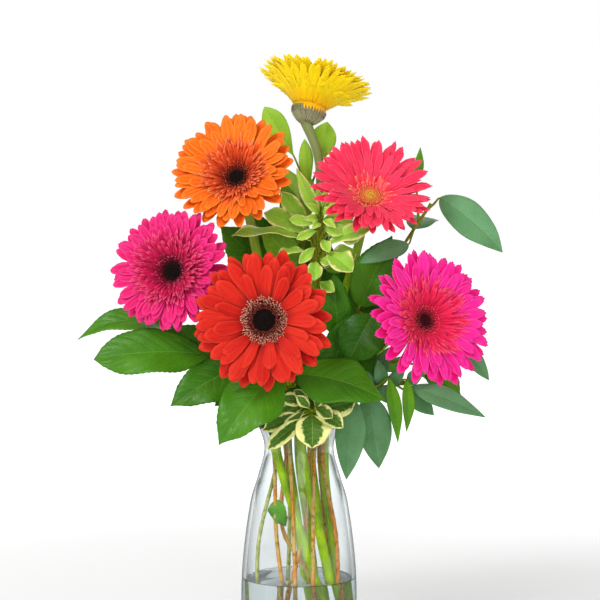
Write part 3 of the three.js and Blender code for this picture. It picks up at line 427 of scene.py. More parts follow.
class StageSettings(bpy.types.PropertyGroup):
    """Floor, light and camera"""

    floor: colour("Floor", "Plain pale floor", (0.82, 0.82, 0.82))
    glow: number("Glow", "Light that the floor gives off near the vase", 0.2)
    ambient: number("Ambient", "Strength of the even light from all round", 0.42)
    key_power: number("Key", "Power of the softbox above the camera", 24, unit="POWER")
    lens: number("Lens", "Focal length of the camera", 120, 1, unit="CAMERA")


# Lines and surfaces


def eased(start, end, leave, arrive, t):
    """A point at t on the smooth curve between two marks, from its slopes there."""
    return (start + t * leave + t * t * (3 * (end - start) - 2 * leave - arrive)
            + t ** 3 * (2 * (start - end) + leave + arrive))


def vase_side(steps=10):
    """Smooth points down the outer side of the vase."""
    marks = [Vector(mark) for mark in VASE_SIDE]
    ends = [marks[0], *marks, marks[-1]]
    return [marks[0], *(
        eased(start, end, (end - before) / 2, (after - start) / 2, step / steps)
        for before, start, end, after in zip(ends, ends[1:], ends[2:], ends[3:]) for step in range(1, steps + 1))]


def hollow_floor(radius):
    """Down the rounded foot of the vase's hollow and in to the middle, from a radius of its side."""
    return [(radius - 1.2, 12.2), (radius - 4.5, 11.0), (20, 10.2), (0, 10)]


class Path:
    """A smooth line through points, read by the share of its length."""

    def __init__(self, points, steps=16):
        places = [Vector(point) for point in points]
        ends = [2 * places[0] - places[1], *places, 2 * places[-1] - places[-2]]
        self.marks = [places[0]]
        for before, start, end, after in zip(ends, ends[1:], ends[2:], ends[3:]):
            first, span, last = (math.sqrt((b - a).length) for a, b in ((before, start), (start, end), (end, after)))
            leave = ((start - before) / first - (end - before) / (first + span) + (end - start) / span) * span
            arrive = ((end - start) / span - (after - start) / (span + last) + (after - end) / last) * span
            self.marks += [eased(start, end, leave, arrive, step / steps) for step in range(1, steps + 1)]
        self.lengths = [0.0]
        for a, b in zip(self.marks, self.marks[1:]):
            self.lengths.append(self.lengths[-1] + (b - a).length)

    def at(self, share):
        goal = clamp(share) * self.lengths[-1]
        index = max(1, next((i for i, done in enumerate(self.lengths) if done >= goal), 1))
        before, after = self.lengths[index - 1:index + 1]
        return self.marks[index - 1].lerp(self.marks[index], (goal - before) / (after - before))

    def frames(self, count):
        """Centre and two cross directions at equal shares, turned as little as possible on the way."""
        made = []
        cross = None
        for i in range(count + 1):
            share = i / count
            along = (self.at(share + 0.004) - self.at(share - 0.004)).normalized()
            if cross is None:
                cross = along.orthogonal().normalized()
            cross = (cross - along * cross.dot(along)).normalized()
            made.append((self.at(share), cross, along.cross(cross)))
        return made


def new_mesh():
    """An empty mesh with a UV map, and a shade and a ring for each vertex."""
    bm = bmesh.new()
    bm.loops.layers.uv.new("UVMap")
    bm.verts.layers.float.new("shade")
    bm.verts.layers.float.new("ring")
    return bm


def dress(verts, slot):
    """Makes the faces round some vertices smooth and gives them their material."""
    for face in {face for vert in verts for face in vert.link_faces}:
        face.material_index = slot
        face.smooth = True


def mark(bm, verts, layer, value):
    layer = bm.verts.layers.float[layer]
    for vert in verts:
        vert[layer] = value(vert) if callable(value) else value


def blade(bm, columns, rows, place, shade=0.0, slot=0):
    """Bends a flat grid to place(u, v), where u runs from -1 to 1 across it and v from 0 to 1 along it."""
    verts = bmesh.ops.create_grid(bm, x_segments=columns, y_segments=rows, size=1.0, calc_uvs=True)["verts"]
    for vert in verts:
        vert.co = place(vert.co.x, (vert.co.y + 1) / 2)
    mark(bm, verts, "shade", shade)
    dress(verts, slot)
    return verts


def thicken(bm, thickness):
    """Gives every face so far its thickness."""
    bmesh.ops.solidify(bm, geom=bm.faces[:], thickness=thickness)


def tube(bm, path, radius, columns, rows, shade=0.0, slot=0):
    """A grid rolled round a path, welded along its seam and closed at both ends; radius(angle, v)."""
    frames = path.frames(rows)

    def place(u, v):
        centre, cross, other = frames[round(v * rows)]
        angle = math.pi * (u + 1)
        return centre + radius(angle, v) * (math.cos(angle) * cross + math.sin(angle) * other)

    verts = blade(bm, columns, rows, place, shade, slot)
    edges = {edge for vert in verts for edge in vert.link_edges if edge.is_boundary}
    bmesh.ops.remove_doubles(bm, verts=list({vert for edge in edges for vert in edge.verts}), dist=1e-3)
    ends = [edge for edge in bm.edges if edge.is_boundary]
    for face in bmesh.ops.holes_fill(bm, edges=ends, sides=columns + 1)["faces"]:
        face.material_index = slot


def turned(bm, profile, steps, slot=0):
    """Spins a profile of (radius, height) round Z into a closed body."""
    start = len(bm.verts)
    line = [bm.verts.new((radius, 0, height)) for radius, height in profile]
    edges = [bm.edges.new(pair) for pair in zip(line, line[1:])]
    bmesh.ops.spin(
        bm, geom=line + edges, cent=(0, 0, 0), axis=(0, 0, 1), dvec=(0, 0, 0), angle=math.tau,
        steps=steps, use_merge=True)
    bm.verts.ensure_lookup_table()
    bmesh.ops.remove_doubles(bm, verts=bm.verts[start:], dist=1e-3)
    bm.verts.ensure_lookup_table()
    dress(bm.verts[start:], slot)


def finish_piece(name, bm, materials, slot, node, matrix=None):
    """Makes the finished object: in metres, in place, riding with the part and standing for its node."""
    if matrix is not None:
        bm.transform(matrix)
    bmesh.ops.scale(bm, vec=(MM, MM, MM), verts=bm.verts[:])
    bmesh.ops.recalc_face_normals(bm, faces=bm.faces[:])
    mesh = bpy.data.meshes.new(name)
    bm.to_mesh(mesh)
    bm.free()
    for material in materials:
        mesh.materials.append(material)
    piece = bpy.data.objects.new(name, mesh)
    bpy.context.scene.collection.objects.link(piece)
    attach(piece, "root")
    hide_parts(node)
    return piece


# Materials


class Field:
    """A value that varies over a surface; sums and products of it become maths nodes."""

    def __init__(self, finish, socket):
        self.finish, self.socket = finish, socket

    def maths(self, operation, *values, clamped=False):
        inputs = dict(enumerate((self, *values)))
        return self.finish.node("ShaderNodeMath", inputs, operation=operation, use_clamp=clamped)

    def __add__(self, other):
        return self.maths("ADD", other)

    def __sub__(self, other):
        return self.maths("SUBTRACT", other)

    def __mul__(self, other):
        return self.maths("MULTIPLY", other)

    def __abs__(self):
        return self.maths("ABSOLUTE")

    def scaled(self, factor, offset=0.0):
        """Factor times this and an offset, kept between 0 and 1."""
        return self.maths("MULTIPLY_ADD", factor, offset, clamped=True)

    def between(self, low, high):
        """0 below low and 1 above high, eased between."""
        inputs = {0: self, 1: low, 2: high, 3: 0.0, 4: 1.0}
        return self.finish.node("ShaderNodeMapRange", inputs, interpolation_type="SMOOTHSTEP")


class Finish:
    """A procedural material, wired by short calls."""

    def __init__(self, name, **sockets):
        self.material = bpy.data.materials.new(name)
        self.material.use_nodes = True
        self.tree = self.material.node_tree
        self.shader = next(node for node in self.tree.nodes if node.type == "BSDF_PRINCIPLED")
        for socket, value in sockets.items():
            self.set(socket.replace("_", " ").title().replace("Ior", "IOR"), value)

    def set(self, socket, value):
        self.feed(self.shader.inputs[socket], value)

    def feed(self, socket, value):
        if isinstance(value, Field):
            self.tree.links.new(value.socket, socket)
        elif socket.type == "RGBA" and len(value) == 3:
            socket.default_value = (*value, 1)
        else:
            socket.default_value = value

    def outputs(self, kind, inputs, **settings):
        node = self.tree.nodes.new(kind)
        for key, value in settings.items():
            setattr(node, key, value)
        for key, value in inputs.items():
            self.feed(node.inputs[key], value)
        return node.outputs

    def node(self, kind, inputs, output=0, **settings):
        return Field(self, self.outputs(kind, inputs, **settings)[output])

    def coat(self, tone, *layers):
        """Lays colours over a first one, each as strongly as its field says."""
        for strength, over in layers:
            tone = self.node("ShaderNodeMix", {0: strength, 6: tone, 7: over}, 2, data_type="RGBA")
        return tone

    def uv(self):
        """Share from the middle to the edge, share along the blade, and the raw share across."""
        place = self.node("ShaderNodeUVMap", {}, uv_map="UVMap")
        side, along, _ = (Field(self, end) for end in self.outputs("ShaderNodeSeparateXYZ", {0: place}))
        return abs(side.maths("MULTIPLY_ADD", 2.0, -1.0)), along, side

    def attribute(self, name):
        return self.node("ShaderNodeAttribute", {}, "Fac", attribute_name=name)

    def place(self, scale=1.0):
        """Object coordinates in metres, scaled."""
        place = self.node("ShaderNodeTexCoord", {}, "Object")
        return self.node("ShaderNodeMapping", {0: place, 3: (scale,) * 3})

    def height(self):
        return self.node("ShaderNodeSeparateXYZ", {0: self.place()}, 2)

    def facing(self):
        return self.node("ShaderNodeLayerWeight", {"Blend": 0.3}, "Facing")

    def noise(self, vector, scale, detail, roughness):
        inputs = {"Vector": vector, "Scale": scale, "Detail": detail, "Roughness": roughness}
        return self.node("ShaderNodeTexNoise", inputs)

    def grain(self, scale, detail=2.0, roughness=0.5):
        """Noise through the solid."""
        return self.noise(self.place(scale), 1.0, detail, roughness)

    def streaks(self, x, y, z, scale=1.0, detail=3.0, roughness=0.6):
        """Noise that follows the surface."""
        return self.noise(self.node("ShaderNodeCombineXYZ", {0: x, 1: y, 2: z}), scale, detail, roughness)

    def done(self, tone, height, strength, distance):
        """Sets the colour and the relief, and hands over the material."""
        self.set("Base Color", tone)
        self.set("Normal", self.node("ShaderNodeBump", {"Height": height, "Strength": strength, "Distance": distance}))
        return self.material


def petal_finish(name, main, root, edge, dark, soft):
    """Velvety petal: fine furrows along it, darker to the root, lighter edges, each petal a little different.

    Painted shade lies in the furrows and, with the petal's own deeper base, towards the root; the lighter edges
    and tips are partly its own paler rim and partly painted highlight; and the shade of each petal is darker in
    the lower rows, as painted shade.
    """
    finish = Finish(name, roughness=0.6, sheen_weight=0.06, sheen_roughness=0.4, subsurface_weight=soft,
                    subsurface_radius=(0.003, 0.0015, 0.001), subsurface_scale=1.0, specular_ior_level=0.16)
    across, along, side = finish.uv()
    shade = finish.attribute("shade")
    lines = finish.streaks(side * 26.0, along * 1.6, shade * 23.0)
    groove = abs(across - FURROW).between(0.16, 0.0)
    tone = finish.coat(
        main,
        # Lighter or darker by each petal's shade: its own tone, and painted shade in the lower rows.
        (shade.scaled(0.3, 0.3), mixed(main, edge, 0.6)),
        (shade.scaled(-0.35), mixed(main, root, 0.6)),
        (lines.between(0.42, 0.68) * 0.4, mixed(main, root, 0.75)),
        # Painted shade in the two furrows.
        (groove * dark, root),
        # Paler rims and tips: partly the petal's own colour, partly painted highlight.
        (across.between(0.7, 1.0) * 0.55, edge),
        (along.between(0.86, 1.0) * 0.4, edge),
        # Deeper to the root: partly the petal's own colour, partly painted shade where the petals overlap.
        (along.between(0.5, 0.08), root))
    return finish.done(tone, lines - groove * 0.6, 0.4, 0.0007)


def inner_finish(name, root, main, tip):
    """Short florets round the disc, with lighter tips."""
    finish = Finish(name, roughness=0.65, sheen_weight=0.05, specular_ior_level=0.15)
    _, along, side = finish.uv()
    shade = finish.attribute("shade")
    grain = finish.streaks(side * 9.0, along, shade * 11.0, 2.0, 2.0, 0.5)
    tone = finish.coat(
        root,
        (along.between(0.15, 0.8), main),
        (along.between(0.88, 1.0) * shade.scaled(0.5, 0.5), tip),
        (grain.between(0.45, 0.7) * 0.45, root),
        (shade.scaled(-0.7), root))
    return finish.done(tone, grain, 0.3, 0.0004)


def floret_finish(name, base, middle, tip, rim=None, start=0.5):
    """Buds and bristles of the disc: the shade runs from foot to tip, and the ring from the middle to the rim."""
    finish = Finish(name, roughness=0.8, sheen_weight=0.04, specular_ior_level=0.12)
    shade, speckle = finish.attribute("shade"), finish.grain(900.0)
    tone = finish.coat(
        srgb(*base), (shade.between(0.1, 0.6), srgb(*middle)), (shade.between(0.7, 0.95), srgb(*tip)))
    if rim:
        tone = finish.coat(tone, (finish.attribute("ring").between(start, start + 0.4) * 0.85, srgb(*rim)))
    tone = finish.coat(tone, (speckle.between(0.45, 0.65) * 0.5, srgb(*base)))
    return finish.done(tone, speckle, 0.4, 0.0004)


def stem_finish(main):
    """Fresh ribbed flower stem, duller and greyer high up, towards the bloom."""
    finish = Finish("flower stem", roughness=0.5, specular_ior_level=0.04)
    ribs = (finish.uv()[2] * (math.tau * 11)).maths("SINE")
    flecks = finish.grain(420.0)
    tone = finish.coat(
        main,
        (finish.grain(55.0, 3.0).between(0.35, 0.7), mixed(main, srgb(96, 140, 4), 0.8)),
        # Lighter stripes on the ribs: painted highlight along their ridges.
        (ribs.between(0.0, 1.0) * 0.25, srgb(200, 222, 30)),
        (flecks.between(0.6, 0.75) * 0.4, srgb(92, 118, 10)),
        (finish.height().between(0.24, 0.4), srgb(126, 138, 84)))
    return finish.done(tone, ribs + flecks * 1.5, 0.4, 0.0005)


def calyx_finish():
    """Grey-green bracts with purple stripes."""
    finish = Finish("calyx", roughness=0.65, sheen_weight=0.08, sheen_roughness=0.5, specular_ior_level=0.2)
    across, along, _ = finish.uv()
    tone = finish.coat(
        srgb(112, 112, 96),
        (across.between(0.15, 0.9), srgb(186, 190, 128)),
        (along.between(0.7, 1.0), srgb(112, 84, 92)),
        (finish.attribute("shade").scaled(0.3, 0.2), srgb(96, 84, 84)))
    return finish.done(tone, finish.grain(800.0), 0.35, 0.0004)


def bark_finish(name, bark, pale, dark):
    """Twig: knobbly and in its own colour in the vase, and always green above the rim."""
    finish = Finish(name, roughness=0.6, specular_ior_level=0.06)
    rough = finish.grain(260.0, 4.0, 0.65)
    fresh = finish.coat(srgb(116, 146, 26), (rough.between(0.4, 0.65), srgb(128, 108, 34)))
    wander = finish.grain(30.0).maths("MULTIPLY_ADD", 0.08, finish.height())
    tone = finish.coat(
        bark,
        (finish.grain(45.0).between(0.4, 0.6), pale),
        (rough.between(0.48, 0.66) * 0.75, dark),
        (wander.between(0.19, 0.22), fresh))
    return finish.done(tone, rough, 0.6, 0.0006)


def veined_finish(name, main, veins, spread, lean, light, gloss, vein_tone, margin=None):
    """Leaf blade with a midrib, side veins, a fine net and mottling; margin adds a pale edge.

    One half of the blade is painted darker and blue-green: painted shade of the fold and painted reflection. The
    leaf's shade sets it between a darker and a lighter tone, partly painted shade and light.
    """
    finish = Finish(name, roughness=gloss, specular_ior_level=0.3)
    across, along, side = finish.uv()
    shade = finish.attribute("shade")
    ribs = (along - across.maths("POWER", 1.2) * lean) * veins
    off = abs(ribs.maths("FRACT").maths("MULTIPLY_ADD", 2.0, -1.0))
    side_vein = off.between(1.0 - spread, 1.0) * across.between(0.98, 0.7)
    midrib = across.between(0.05, 0.012)
    cells = {"Vector": finish.place(), "Scale": 420.0}
    net = finish.node("ShaderNodeTexVoronoi", cells, feature="DISTANCE_TO_EDGE").between(0.12, 0.0)
    mottle = finish.grain(70.0, 4.0, 0.6)
    tone = finish.coat(
        # Darker or lighter by the leaf's shade: partly its own tone, partly painted shade and light.
        mixed(main, BLACK, 0.5),
        (shade.scaled(0.5, 0.5), mixed(main, light, 0.8)),
        (mottle.between(0.35, 0.7) * 0.3, light),
        (finish.grain(24.0).between(0.42, 0.66) * 0.3, mixed(main, BLACK, 0.45)),
        # One half of the blade darker and blue-green: painted shade of the fold and painted reflection.
        (side.between(0.485, 0.515) * 0.26, mixed(main, srgb(22, 86, 24), 0.6)),
        (net * 0.12, vein_tone))
    if margin:
        low, high, cream = margin
        torn = finish.streaks(side * 3.0, along * 4.0, shade * 9.0, 1.6).maths("MULTIPLY_ADD", 0.9, -0.45)
        edge = across + torn + along.between(0.86, 1.0) * 0.35
        tone = finish.coat(tone, (edge.between(low, high), cream))
    tone = finish.coat(tone, (side_vein * 0.28, vein_tone), (midrib * 0.3, vein_tone))
    return finish.done(tone, side_vein * -0.6 - midrib - net * 0.2 + mottle * 0.3, 0.5, 0.0008)


def glass_finish(settings):
    """Clear glass, darker where it is seen edge on."""
    finish = Finish("clear glass", roughness=0.01, transmission_weight=1.0, ior=1.47, specular_ior_level=0.15)
    finish.set("Roughness", finish.grain(40.0, 3.0).between(0.5, 0.8) * 0.02)
    tone = finish.coat(tuple(settings.glass), (finish.facing().between(0.22, 0.7), tuple(settings.rim)))
    return finish.done(tone, finish.grain(14.0, 1.0), 0.12, 0.002)


def water_finish(level):
    """Clear water, with a darker green band painted round its top: painted shade for the dark line of the meniscus."""
    finish = Finish("water", roughness=0.0, transmission_weight=1.0, ior=1.333, specular_ior_level=0.4)
    ripple = finish.grain(60.0)
    tone = finish.coat(
        (0.84, 0.92, 0.95),
        (ripple, (0.93, 0.97, 0.98)),
        (finish.facing().between(0.7, 1.0) * 0.6, srgb(120, 150, 130)),
        # Painted shade: a dark green band at the water line, where the meniscus shows a dark line.
        (finish.height().between(level - 0.00092, level - 0.0005) * 0.85, srgb(96, 122, 96)))
    return finish.done(tone, ripple, 0.1, 0.001)


def floor_finish(settings):
    """Pale floor, glowing faintly so that it melts into the white round it."""
    main = tuple(settings.floor)
    finish = Finish("pale floor", roughness=0.7, specular_ior_level=0.1, emission_color=(1.0, 1.0, 1.0))
    away = finish.node("ShaderNodeVectorMath", {0: finish.place()}, "Value", operation="LENGTH")
    finish.set("Emission Strength", away.between(0.15, 1.6).maths("MULTIPLY_ADD", 0.6, settings.glow))
    grain = finish.grain(25.0, 3.0)
    return finish.done(finish.coat(main, (grain * 0.1, mixed(main, (0.8, 0.8, 0.8), 0.3))), grain, 0.05, 0.001)


# Blooms


def bloom_matrix(bloom):
    """Turns a bloom that lies flat, facing +Z, to its place."""
    turn, lift = math.radians(bloom.turn), math.radians(bloom.lift)
    facing = Vector((math.sin(turn) * math.cos(lift), -math.cos(turn) * math.cos(lift), math.sin(lift)))
    right = Vector((0, 0, 1)).cross(facing).normalized()
    matrix = Matrix((right, facing.cross(right), facing)).transposed().to_4x4()
    matrix.translation = Vector(bloom.disc) - facing * HUB_TOP
    return matrix


def ray_shape(s):
    """Half width of a ray petal as a share, narrow at the root and widest past its middle."""
    if s < 0.72:
        return 0.3 + 0.7 * math.sin(math.pi / 2 * s / 0.72) ** 1.1
    return 1 - 0.36 * ((s - 0.72) / 0.28) ** 2


def inner_shape(s):
    """Half width of a short inner floret as a share."""
    return 0.55 + 0.45 * math.sin(math.pi * s / 1.6) if s < 0.8 else 1 - 0.5 * ((s - 0.8) / 0.2) ** 2


def petal(bm, bloom, slot, seed, wall, angle, reach, rise, roll, width, shag, tone):
    """One petal from its wall of the receptacle, given as radius and height."""
    root, height = wall
    span = reach - root
    outward, across = compass(angle)
    ray = slot == RAY
    if ray:
        shape, tooth, tip, cup = ray_shape, bloom.tooth, bloom.tip, bloom.cup + 0.08 * draw(seed + 11)
        curl = bloom.curl + 0.1 * shag * draw(seed + 12)
        bend = (0.05 + 0.08 * shag) * draw(seed + 13)
    else:
        shape, tooth, tip, cup = inner_shape, 0.0, 0.15, 0.7
        curl = 0.4 + 0.4 * draw(seed + 12)
        bend = 0.22 * draw(seed + 13)
    ruffle = (0.06 + 0.1 * shag) * draw(seed + 14)
    twist = 0.35 * shag * draw(seed + 16)

    def place(u, v):
        s = v * (1 - 0.4 * tip * u * u - 0.6 * tip * abs(u) ** 5 - tooth * (1 - math.cos(3 * math.pi * u)) / 2)
        half = width / 2 * shape(s)
        slope = rise * (1.6 - 1.2 * s) / span
        normal = (Vector((0, 0, 1)) - slope * outward).normalized()
        turn = roll + twist * s
        wide = across * math.cos(turn) + normal * math.sin(turn)
        lean = normal * math.cos(turn) - across * math.sin(turn)
        middle = outward * (root + span * s)
        middle.z = height + rise * (1.6 * s - 0.6 * s * s)
        raised = cup * half * u * u + ruffle * half * u * math.sin(7 * s + seed)
        if ray:
            fade = clamp(s / 0.25) * clamp((1.06 - s) / 0.25)
            raised -= 0.24 * fade * math.exp(-((abs(u) - FURROW) / 0.13) ** 2)
        raised += curl * span * max(0.0, s - 0.45) ** 2
        return middle + wide * (u * half + bend * span * s * s) + lean * raised

    columns, rows, spread = (10, 12, 0.7) if ray else (2, 6, 0.4)
    blade(bm, columns, rows, place, clamp(tone + spread * draw(seed + 15), -1, 1), slot)


def petals_piece(name, bloom, seed, thickness, materials):
    """All the petals of one bloom, in their layers, on the low drum of the receptacle."""
    bm = new_mesh()
    upper, high = 0.94 * bloom.radius, bloom.rise + 4
    # Ray petals get a darker shade the lower their row lies: painted shade where the rows above shadow them; the draws
    # add each petal's own tone.
    for step, (wall, reach, rise) in enumerate(((LOWER_WALL, bloom.radius, bloom.rise), (UPPER_WALL, upper, high))):
        for k in range(bloom.pairs):
            own = seed + 300 * step + 2 * k + step
            petal(bm, bloom, RAY, own, wall,
                  angle=math.tau * (k + 0.25 + 0.5 * step + 0.12 * draw(own + 300)) / bloom.pairs,
                  reach=reach * (1 + 0.035 * draw(own)), rise=rise + draw(own + 200),
                  roll=math.radians(7) * draw(own + 100), width=bloom.width * (0.96 + 0.08 * draw(own + 400)),
                  shag=0.5 * bloom.shag, tone=-0.6 + 0.4 * step)
    for step, (count, reach, lift, width) in enumerate(bloom.rays + bloom.inner, start=2):
        inner = step - 2 - len(bloom.rays)
        # Further ray rows are lighter the higher they lie, as painted shade; inner florets are darker towards the
        # disc.
        if inner < 0:
            slot, spread, tone = RAY, 0.07, min(0.1 * step - 0.2, 0.3)
        else:
            slot, spread, tone = INNER, 0.1, 0.5 - 1.3 * inner / len(bloom.inner)
        share = (reach - UPPER_WALL[0]) / (upper - UPPER_WALL[0])
        top = UPPER_WALL[1] + high * (1.6 * share - 0.6 * share * share) + lift
        wall = (INNER_WALL[0] - 0.3 * step, INNER_WALL[1] + 0.2 * step)
        for k in range(count):
            own = seed + 300 * step + k
            petal(bm, bloom, slot, own, wall,
                  angle=math.tau * (k + 0.37 * step + 0.18 * draw(own + 300)) / count,
                  reach=reach * (1 + spread * draw(own)), rise=top - wall[1] + 1.6 * draw(own + 200),
                  roll=math.radians(13) * draw(own + 100), width=width * (1 + 0.15 * draw(own + 400)),
                  shag=bloom.shag, tone=tone)
    thicken(bm, thickness)
    turned(bm, ((0, 0.1), (12.8, 0.1), (12.9, 1.4), (12.2, 4.0), (10.8, 5.5), (0, HUB_TOP)), 32, INNER)
    finish_piece(f"{name}_ray_petals", bm, materials, f"{name}_petal", f"{name}_petals", bloom_matrix(bloom))


def cone(bm, foot, direction, depth, radius, tip, sides, slot, ring, bright=1.0):
    """A slim bud or bristle standing on its foot, with its shade running up it."""
    turn = direction.to_track_quat("Z", "Y").to_matrix().to_4x4()
    verts = bmesh.ops.create_cone(
        bm, cap_ends=True, segments=sides, radius1=radius, radius2=tip, depth=depth,
        matrix=Matrix.Translation(foot + direction * depth / 2) @ turn, calc_uvs=False)["verts"]
    mark(bm, verts, "shade", lambda vert: bright * clamp((vert.co - foot).dot(direction) / depth))
    mark(bm, verts, "ring", ring)
    dress(verts, slot)


def disc_piece(name, bloom, seed, materials):
    """The eye of the bloom: a dome of tiny buds in spirals, ringed by bristles with pale tips."""
    bm = new_mesh()
    base = HUB_TOP + 0.3
    turned(bm, ((0, base), (8.4, base), (8.6, base + 0.8), (6.4, base + 1.5), (3.2, base + 1.3), (0, base + 1.0)), 32)
    for k in range(BUDS):
        share = math.sqrt((k + 0.5) / BUDS)
        out, _ = compass(k * GOLDEN_ANGLE)
        foot = out * EYE * share
        foot.z = base + 0.6 + 0.6 * math.sin(math.pi * share) - 0.3 * share ** 3
        direction = (Vector((0, 0, 1)) + out * (0.4 * share + 0.2 * draw(seed + k))).normalized()
        cone(bm, foot, direction, 1.2 + 0.9 * share + 0.4 * draw(seed + 300 + k), 0.44, 0.24, 5, 0, share)
    for row, (reach, size, count, lean) in enumerate(bloom.fringe):
        for k in range(count):
            own = seed + SEEDS * (row + 1) + k
            out, around = compass(math.tau * (k + 0.5 * (row % 2) + 0.4 * draw(own)) / count)
            tilt = math.radians(lean + 10 * draw(own + 100))
            direction = out * math.sin(tilt) + Vector((0, 0, math.cos(tilt))) + around * 0.24 * draw(own + 200)
            foot = out * (reach + 0.5 * draw(own + 300))
            foot.z = base + 0.6 - 0.1 * max(0, 8.6 - reach) + 0.12 * max(0, reach - 9)
            bright = 0.55 + 0.45 * clamp((row + 0.5 * draw(own + 500)) / (0.45 * len(bloom.fringe)))
            cone(bm, foot, direction.normalized(), size * (1 + 0.18 * draw(own + 400)), 0.36, 0.26, 4, 1, 0, bright)
    finish_piece(f"{name}_florets", bm, materials, bloom.eye, f"{name}_disc", bloom_matrix(bloom))


def cup_radius(foot, brim, share):
    """Radius of the green cup at a share of its height."""
    return foot + (brim - foot) * math.sin(math.pi / 2 * share) ** 0.68


def stem_piece(name, bloom, seed, thick, materials):
    """Flower stem with its cup of striped bracts under the bloom."""
    bm = new_mesh()
    count = 34
    for row, (phase, wide, long) in enumerate(((0.0, 2.9, 8.0), (0.5, 3.0, 9.6), (0.25, 2.8, 10.8))):
        for k in range(count):
            own = seed + 100 * row + k
            out, side = compass(math.tau * (k + phase) / count)
            half_wide = wide / 2 * (1 + 0.1 * draw(own))

            def place(u, v):
                height = 0.4 - CUP + 0.4 * row + long * v * (1 + 0.04 * draw(own + 50))
                share = clamp((height + CUP) / CUP)
                reach = cup_radius(4.2, 14.2, share) + 0.5 - 0.3 * row + 0.5 * v ** 4
                half = half_wide * (1 - max(0.0, v - 0.35) / 0.65) ** 0.7 * (0.35 + 0.65 * share)
                return out * (reach - 0.25 * half * u * u) + side * half * u + Vector((0, 0, height))

            blade(bm, 4, 6, place, draw(own + 60), 1)
    thicken(bm, 0.4)
    cup = [(0, -CUP), *((cup_radius(3.8, 13.7, step / 8), 12.6 * step / 8 - CUP) for step in range(9))]
    seam = cup[6][1]
    turned(bm, [*cup[:7], (0, seam)], 36, 1)
    turned(bm, [(0, seam - 0.2), *((radius + 0.05, height) for radius, height in cup[6:]), (0, -0.4)], 36, 2)
    matrix = bloom_matrix(bloom)
    bm.transform(matrix)
    foot, neck = Vector((*bloom.foot, STEM_FOOT)), Vector((*bloom.neck, STEM_NECK))
    path = Path([foot, foot.lerp(neck, 0.5), neck, *bloom.way, matrix @ Vector((0, 0, 1 - CUP))])

    def ribbed(angle, v):
        swell = 1 + 0.06 * math.sin(9 * v + seed) + 0.25 * clamp((v - 0.97) / 0.03)
        return thick * swell * (1 + 0.035 * math.cos(7 * angle))

    tube(bm, path, ribbed, 28, 90)
    finish_piece(f"{name}_flower_stem", bm, materials, "flower_stem", f"{name}_stem")


# Leafy stems


def half_width(width, outline, t, point):
    """Half width of the blade at t, coming to a point past its last station."""
    widest, fullness, stations = outline
    power = math.log(0.5) / math.log(widest)

    def side(share):
        return width / 2 * max(math.sin(math.pi * share ** power), 0.0) ** fullness

    last = stations[-2]
    return max(side(t), 0.7) if t <= last else max(side(last) * ((1 - t) / (1 - last)) ** point, 0.12)


def station_index(stations, t):
    """How many stations lie before t, with a fraction for the way to the next one."""
    for index, (before, after) in enumerate(zip(stations, stations[1:])):
        if t <= after:
            return index + (t - before) / (after - before)
    return len(stations) - 1


def leaf(bm, look, base, tip, width, face, arch, fold, wave, outline, shade):
    """One blade: arched along, folded at the rib, waved and toothed at its edges, quilted between its veins."""
    outline = OUTLINES[outline]
    base = Vector(base)
    run = Vector(tip) - base
    side = run.cross(Vector(face)).normalized()
    up = side.cross(run).normalized()
    fold = math.radians(fold)
    own = base.x + 2 * base.z + tip[2]
    rows = clamp(round(run.length / look.grain), 12, 44)
    columns = clamp(2 * round(width / look.grain / 2), 8, 22)

    def place(u, v):
        half = half_width(width, outline, v, look.point) * (1 + look.sway * math.sin(7 * v + own + u))
        body = min(1.0, half / (0.3 * width))
        teeth = look.teeth * (round(v * rows) % 2) * body if abs(u) > 0.99 else 0.0
        ripple = wave * math.cos(math.pi * (1 + station_index(outline[2], v))) * body
        crease = math.sqrt(u * u + 0.003) - 0.055
        vein = look.veins * (v - look.lean * abs(u) ** 1.2)
        quilt = look.quilt * body * abs(math.sin(math.pi * vein)) * min(1.0, abs(u) * 4) * (1 - u ** 4)
        bow = look.droop * half * u * u
        swell = look.sway * half * u * abs(u) * math.sin(11 * v + own + 2 * u) * 2.2 * body
        lift = half * math.sin(fold) * crease + ripple * u * abs(u) + quilt - bow + swell
        middle = base + run * v + up * (arch * 4 * v * (1 - v))
        return middle + side * (u * (half + teeth) * math.cos(fold)) + up * lift

    blade(bm, columns, rows, place, shade, NARROW if look.narrow and shade > 0.8 else BLADE)


def spray_piece(name, marks, leaves, look, finish, slot, settings):
    """A leafy stem: its blades, their stalks and the twig that carries them."""
    bm = new_mesh()
    path = Path(marks)
    leaves = [*leaves, *(
        (*row, *kind, shade) for kind, rows in INNER_LEAVES.get(name, {}).items() for *row, shade in rows)]
    for _, *spec in leaves:
        leaf(bm, look, *spec)
    thicken(bm, settings.thickness / MM)
    for share, base, tip, *_ in leaves:
        root, base = path.at(share), Vector(base)
        ahead = base + (Vector(tip) - base).normalized() * 3
        stalk = Path([root, root.lerp(base, 0.5) - Vector((0, 0, 0.6)), base, ahead], 6)
        tube(bm, stalk, lambda angle, v: 1.15 - 0.5 * v, 8, 8, 0.4, BARK)
    twig = settings.twig_radius / MM
    knots = len(marks) * 3

    def knobbly(angle, v):
        swell = max(0.0, math.cos(math.tau * knots * v)) ** 12
        return twig * (1.02 - 0.28 * v + 0.16 * swell + 0.04 * math.sin(3 * angle + 20 * v))

    tube(bm, path, knobbly, 10, 120, 0.0, BARK)
    if name in GREEN_TWIGS:
        bark = bark_finish("green twig", srgb(158, 168, 78), srgb(182, 190, 120), srgb(110, 110, 52))
    else:
        bark = bark_finish("brown twig", tuple(settings.bark), srgb(196, 164, 92), srgb(104, 58, 24))
    materials = [finish, bark, look.narrow] if look.narrow else [finish, bark]
    finish_piece(f"{name}_leafy_stem", bm, materials, slot, name)


# Operators


class GerberaOperator:
    """What every builder here shares."""

    bl_options = {"REGISTER", "UNDO"}


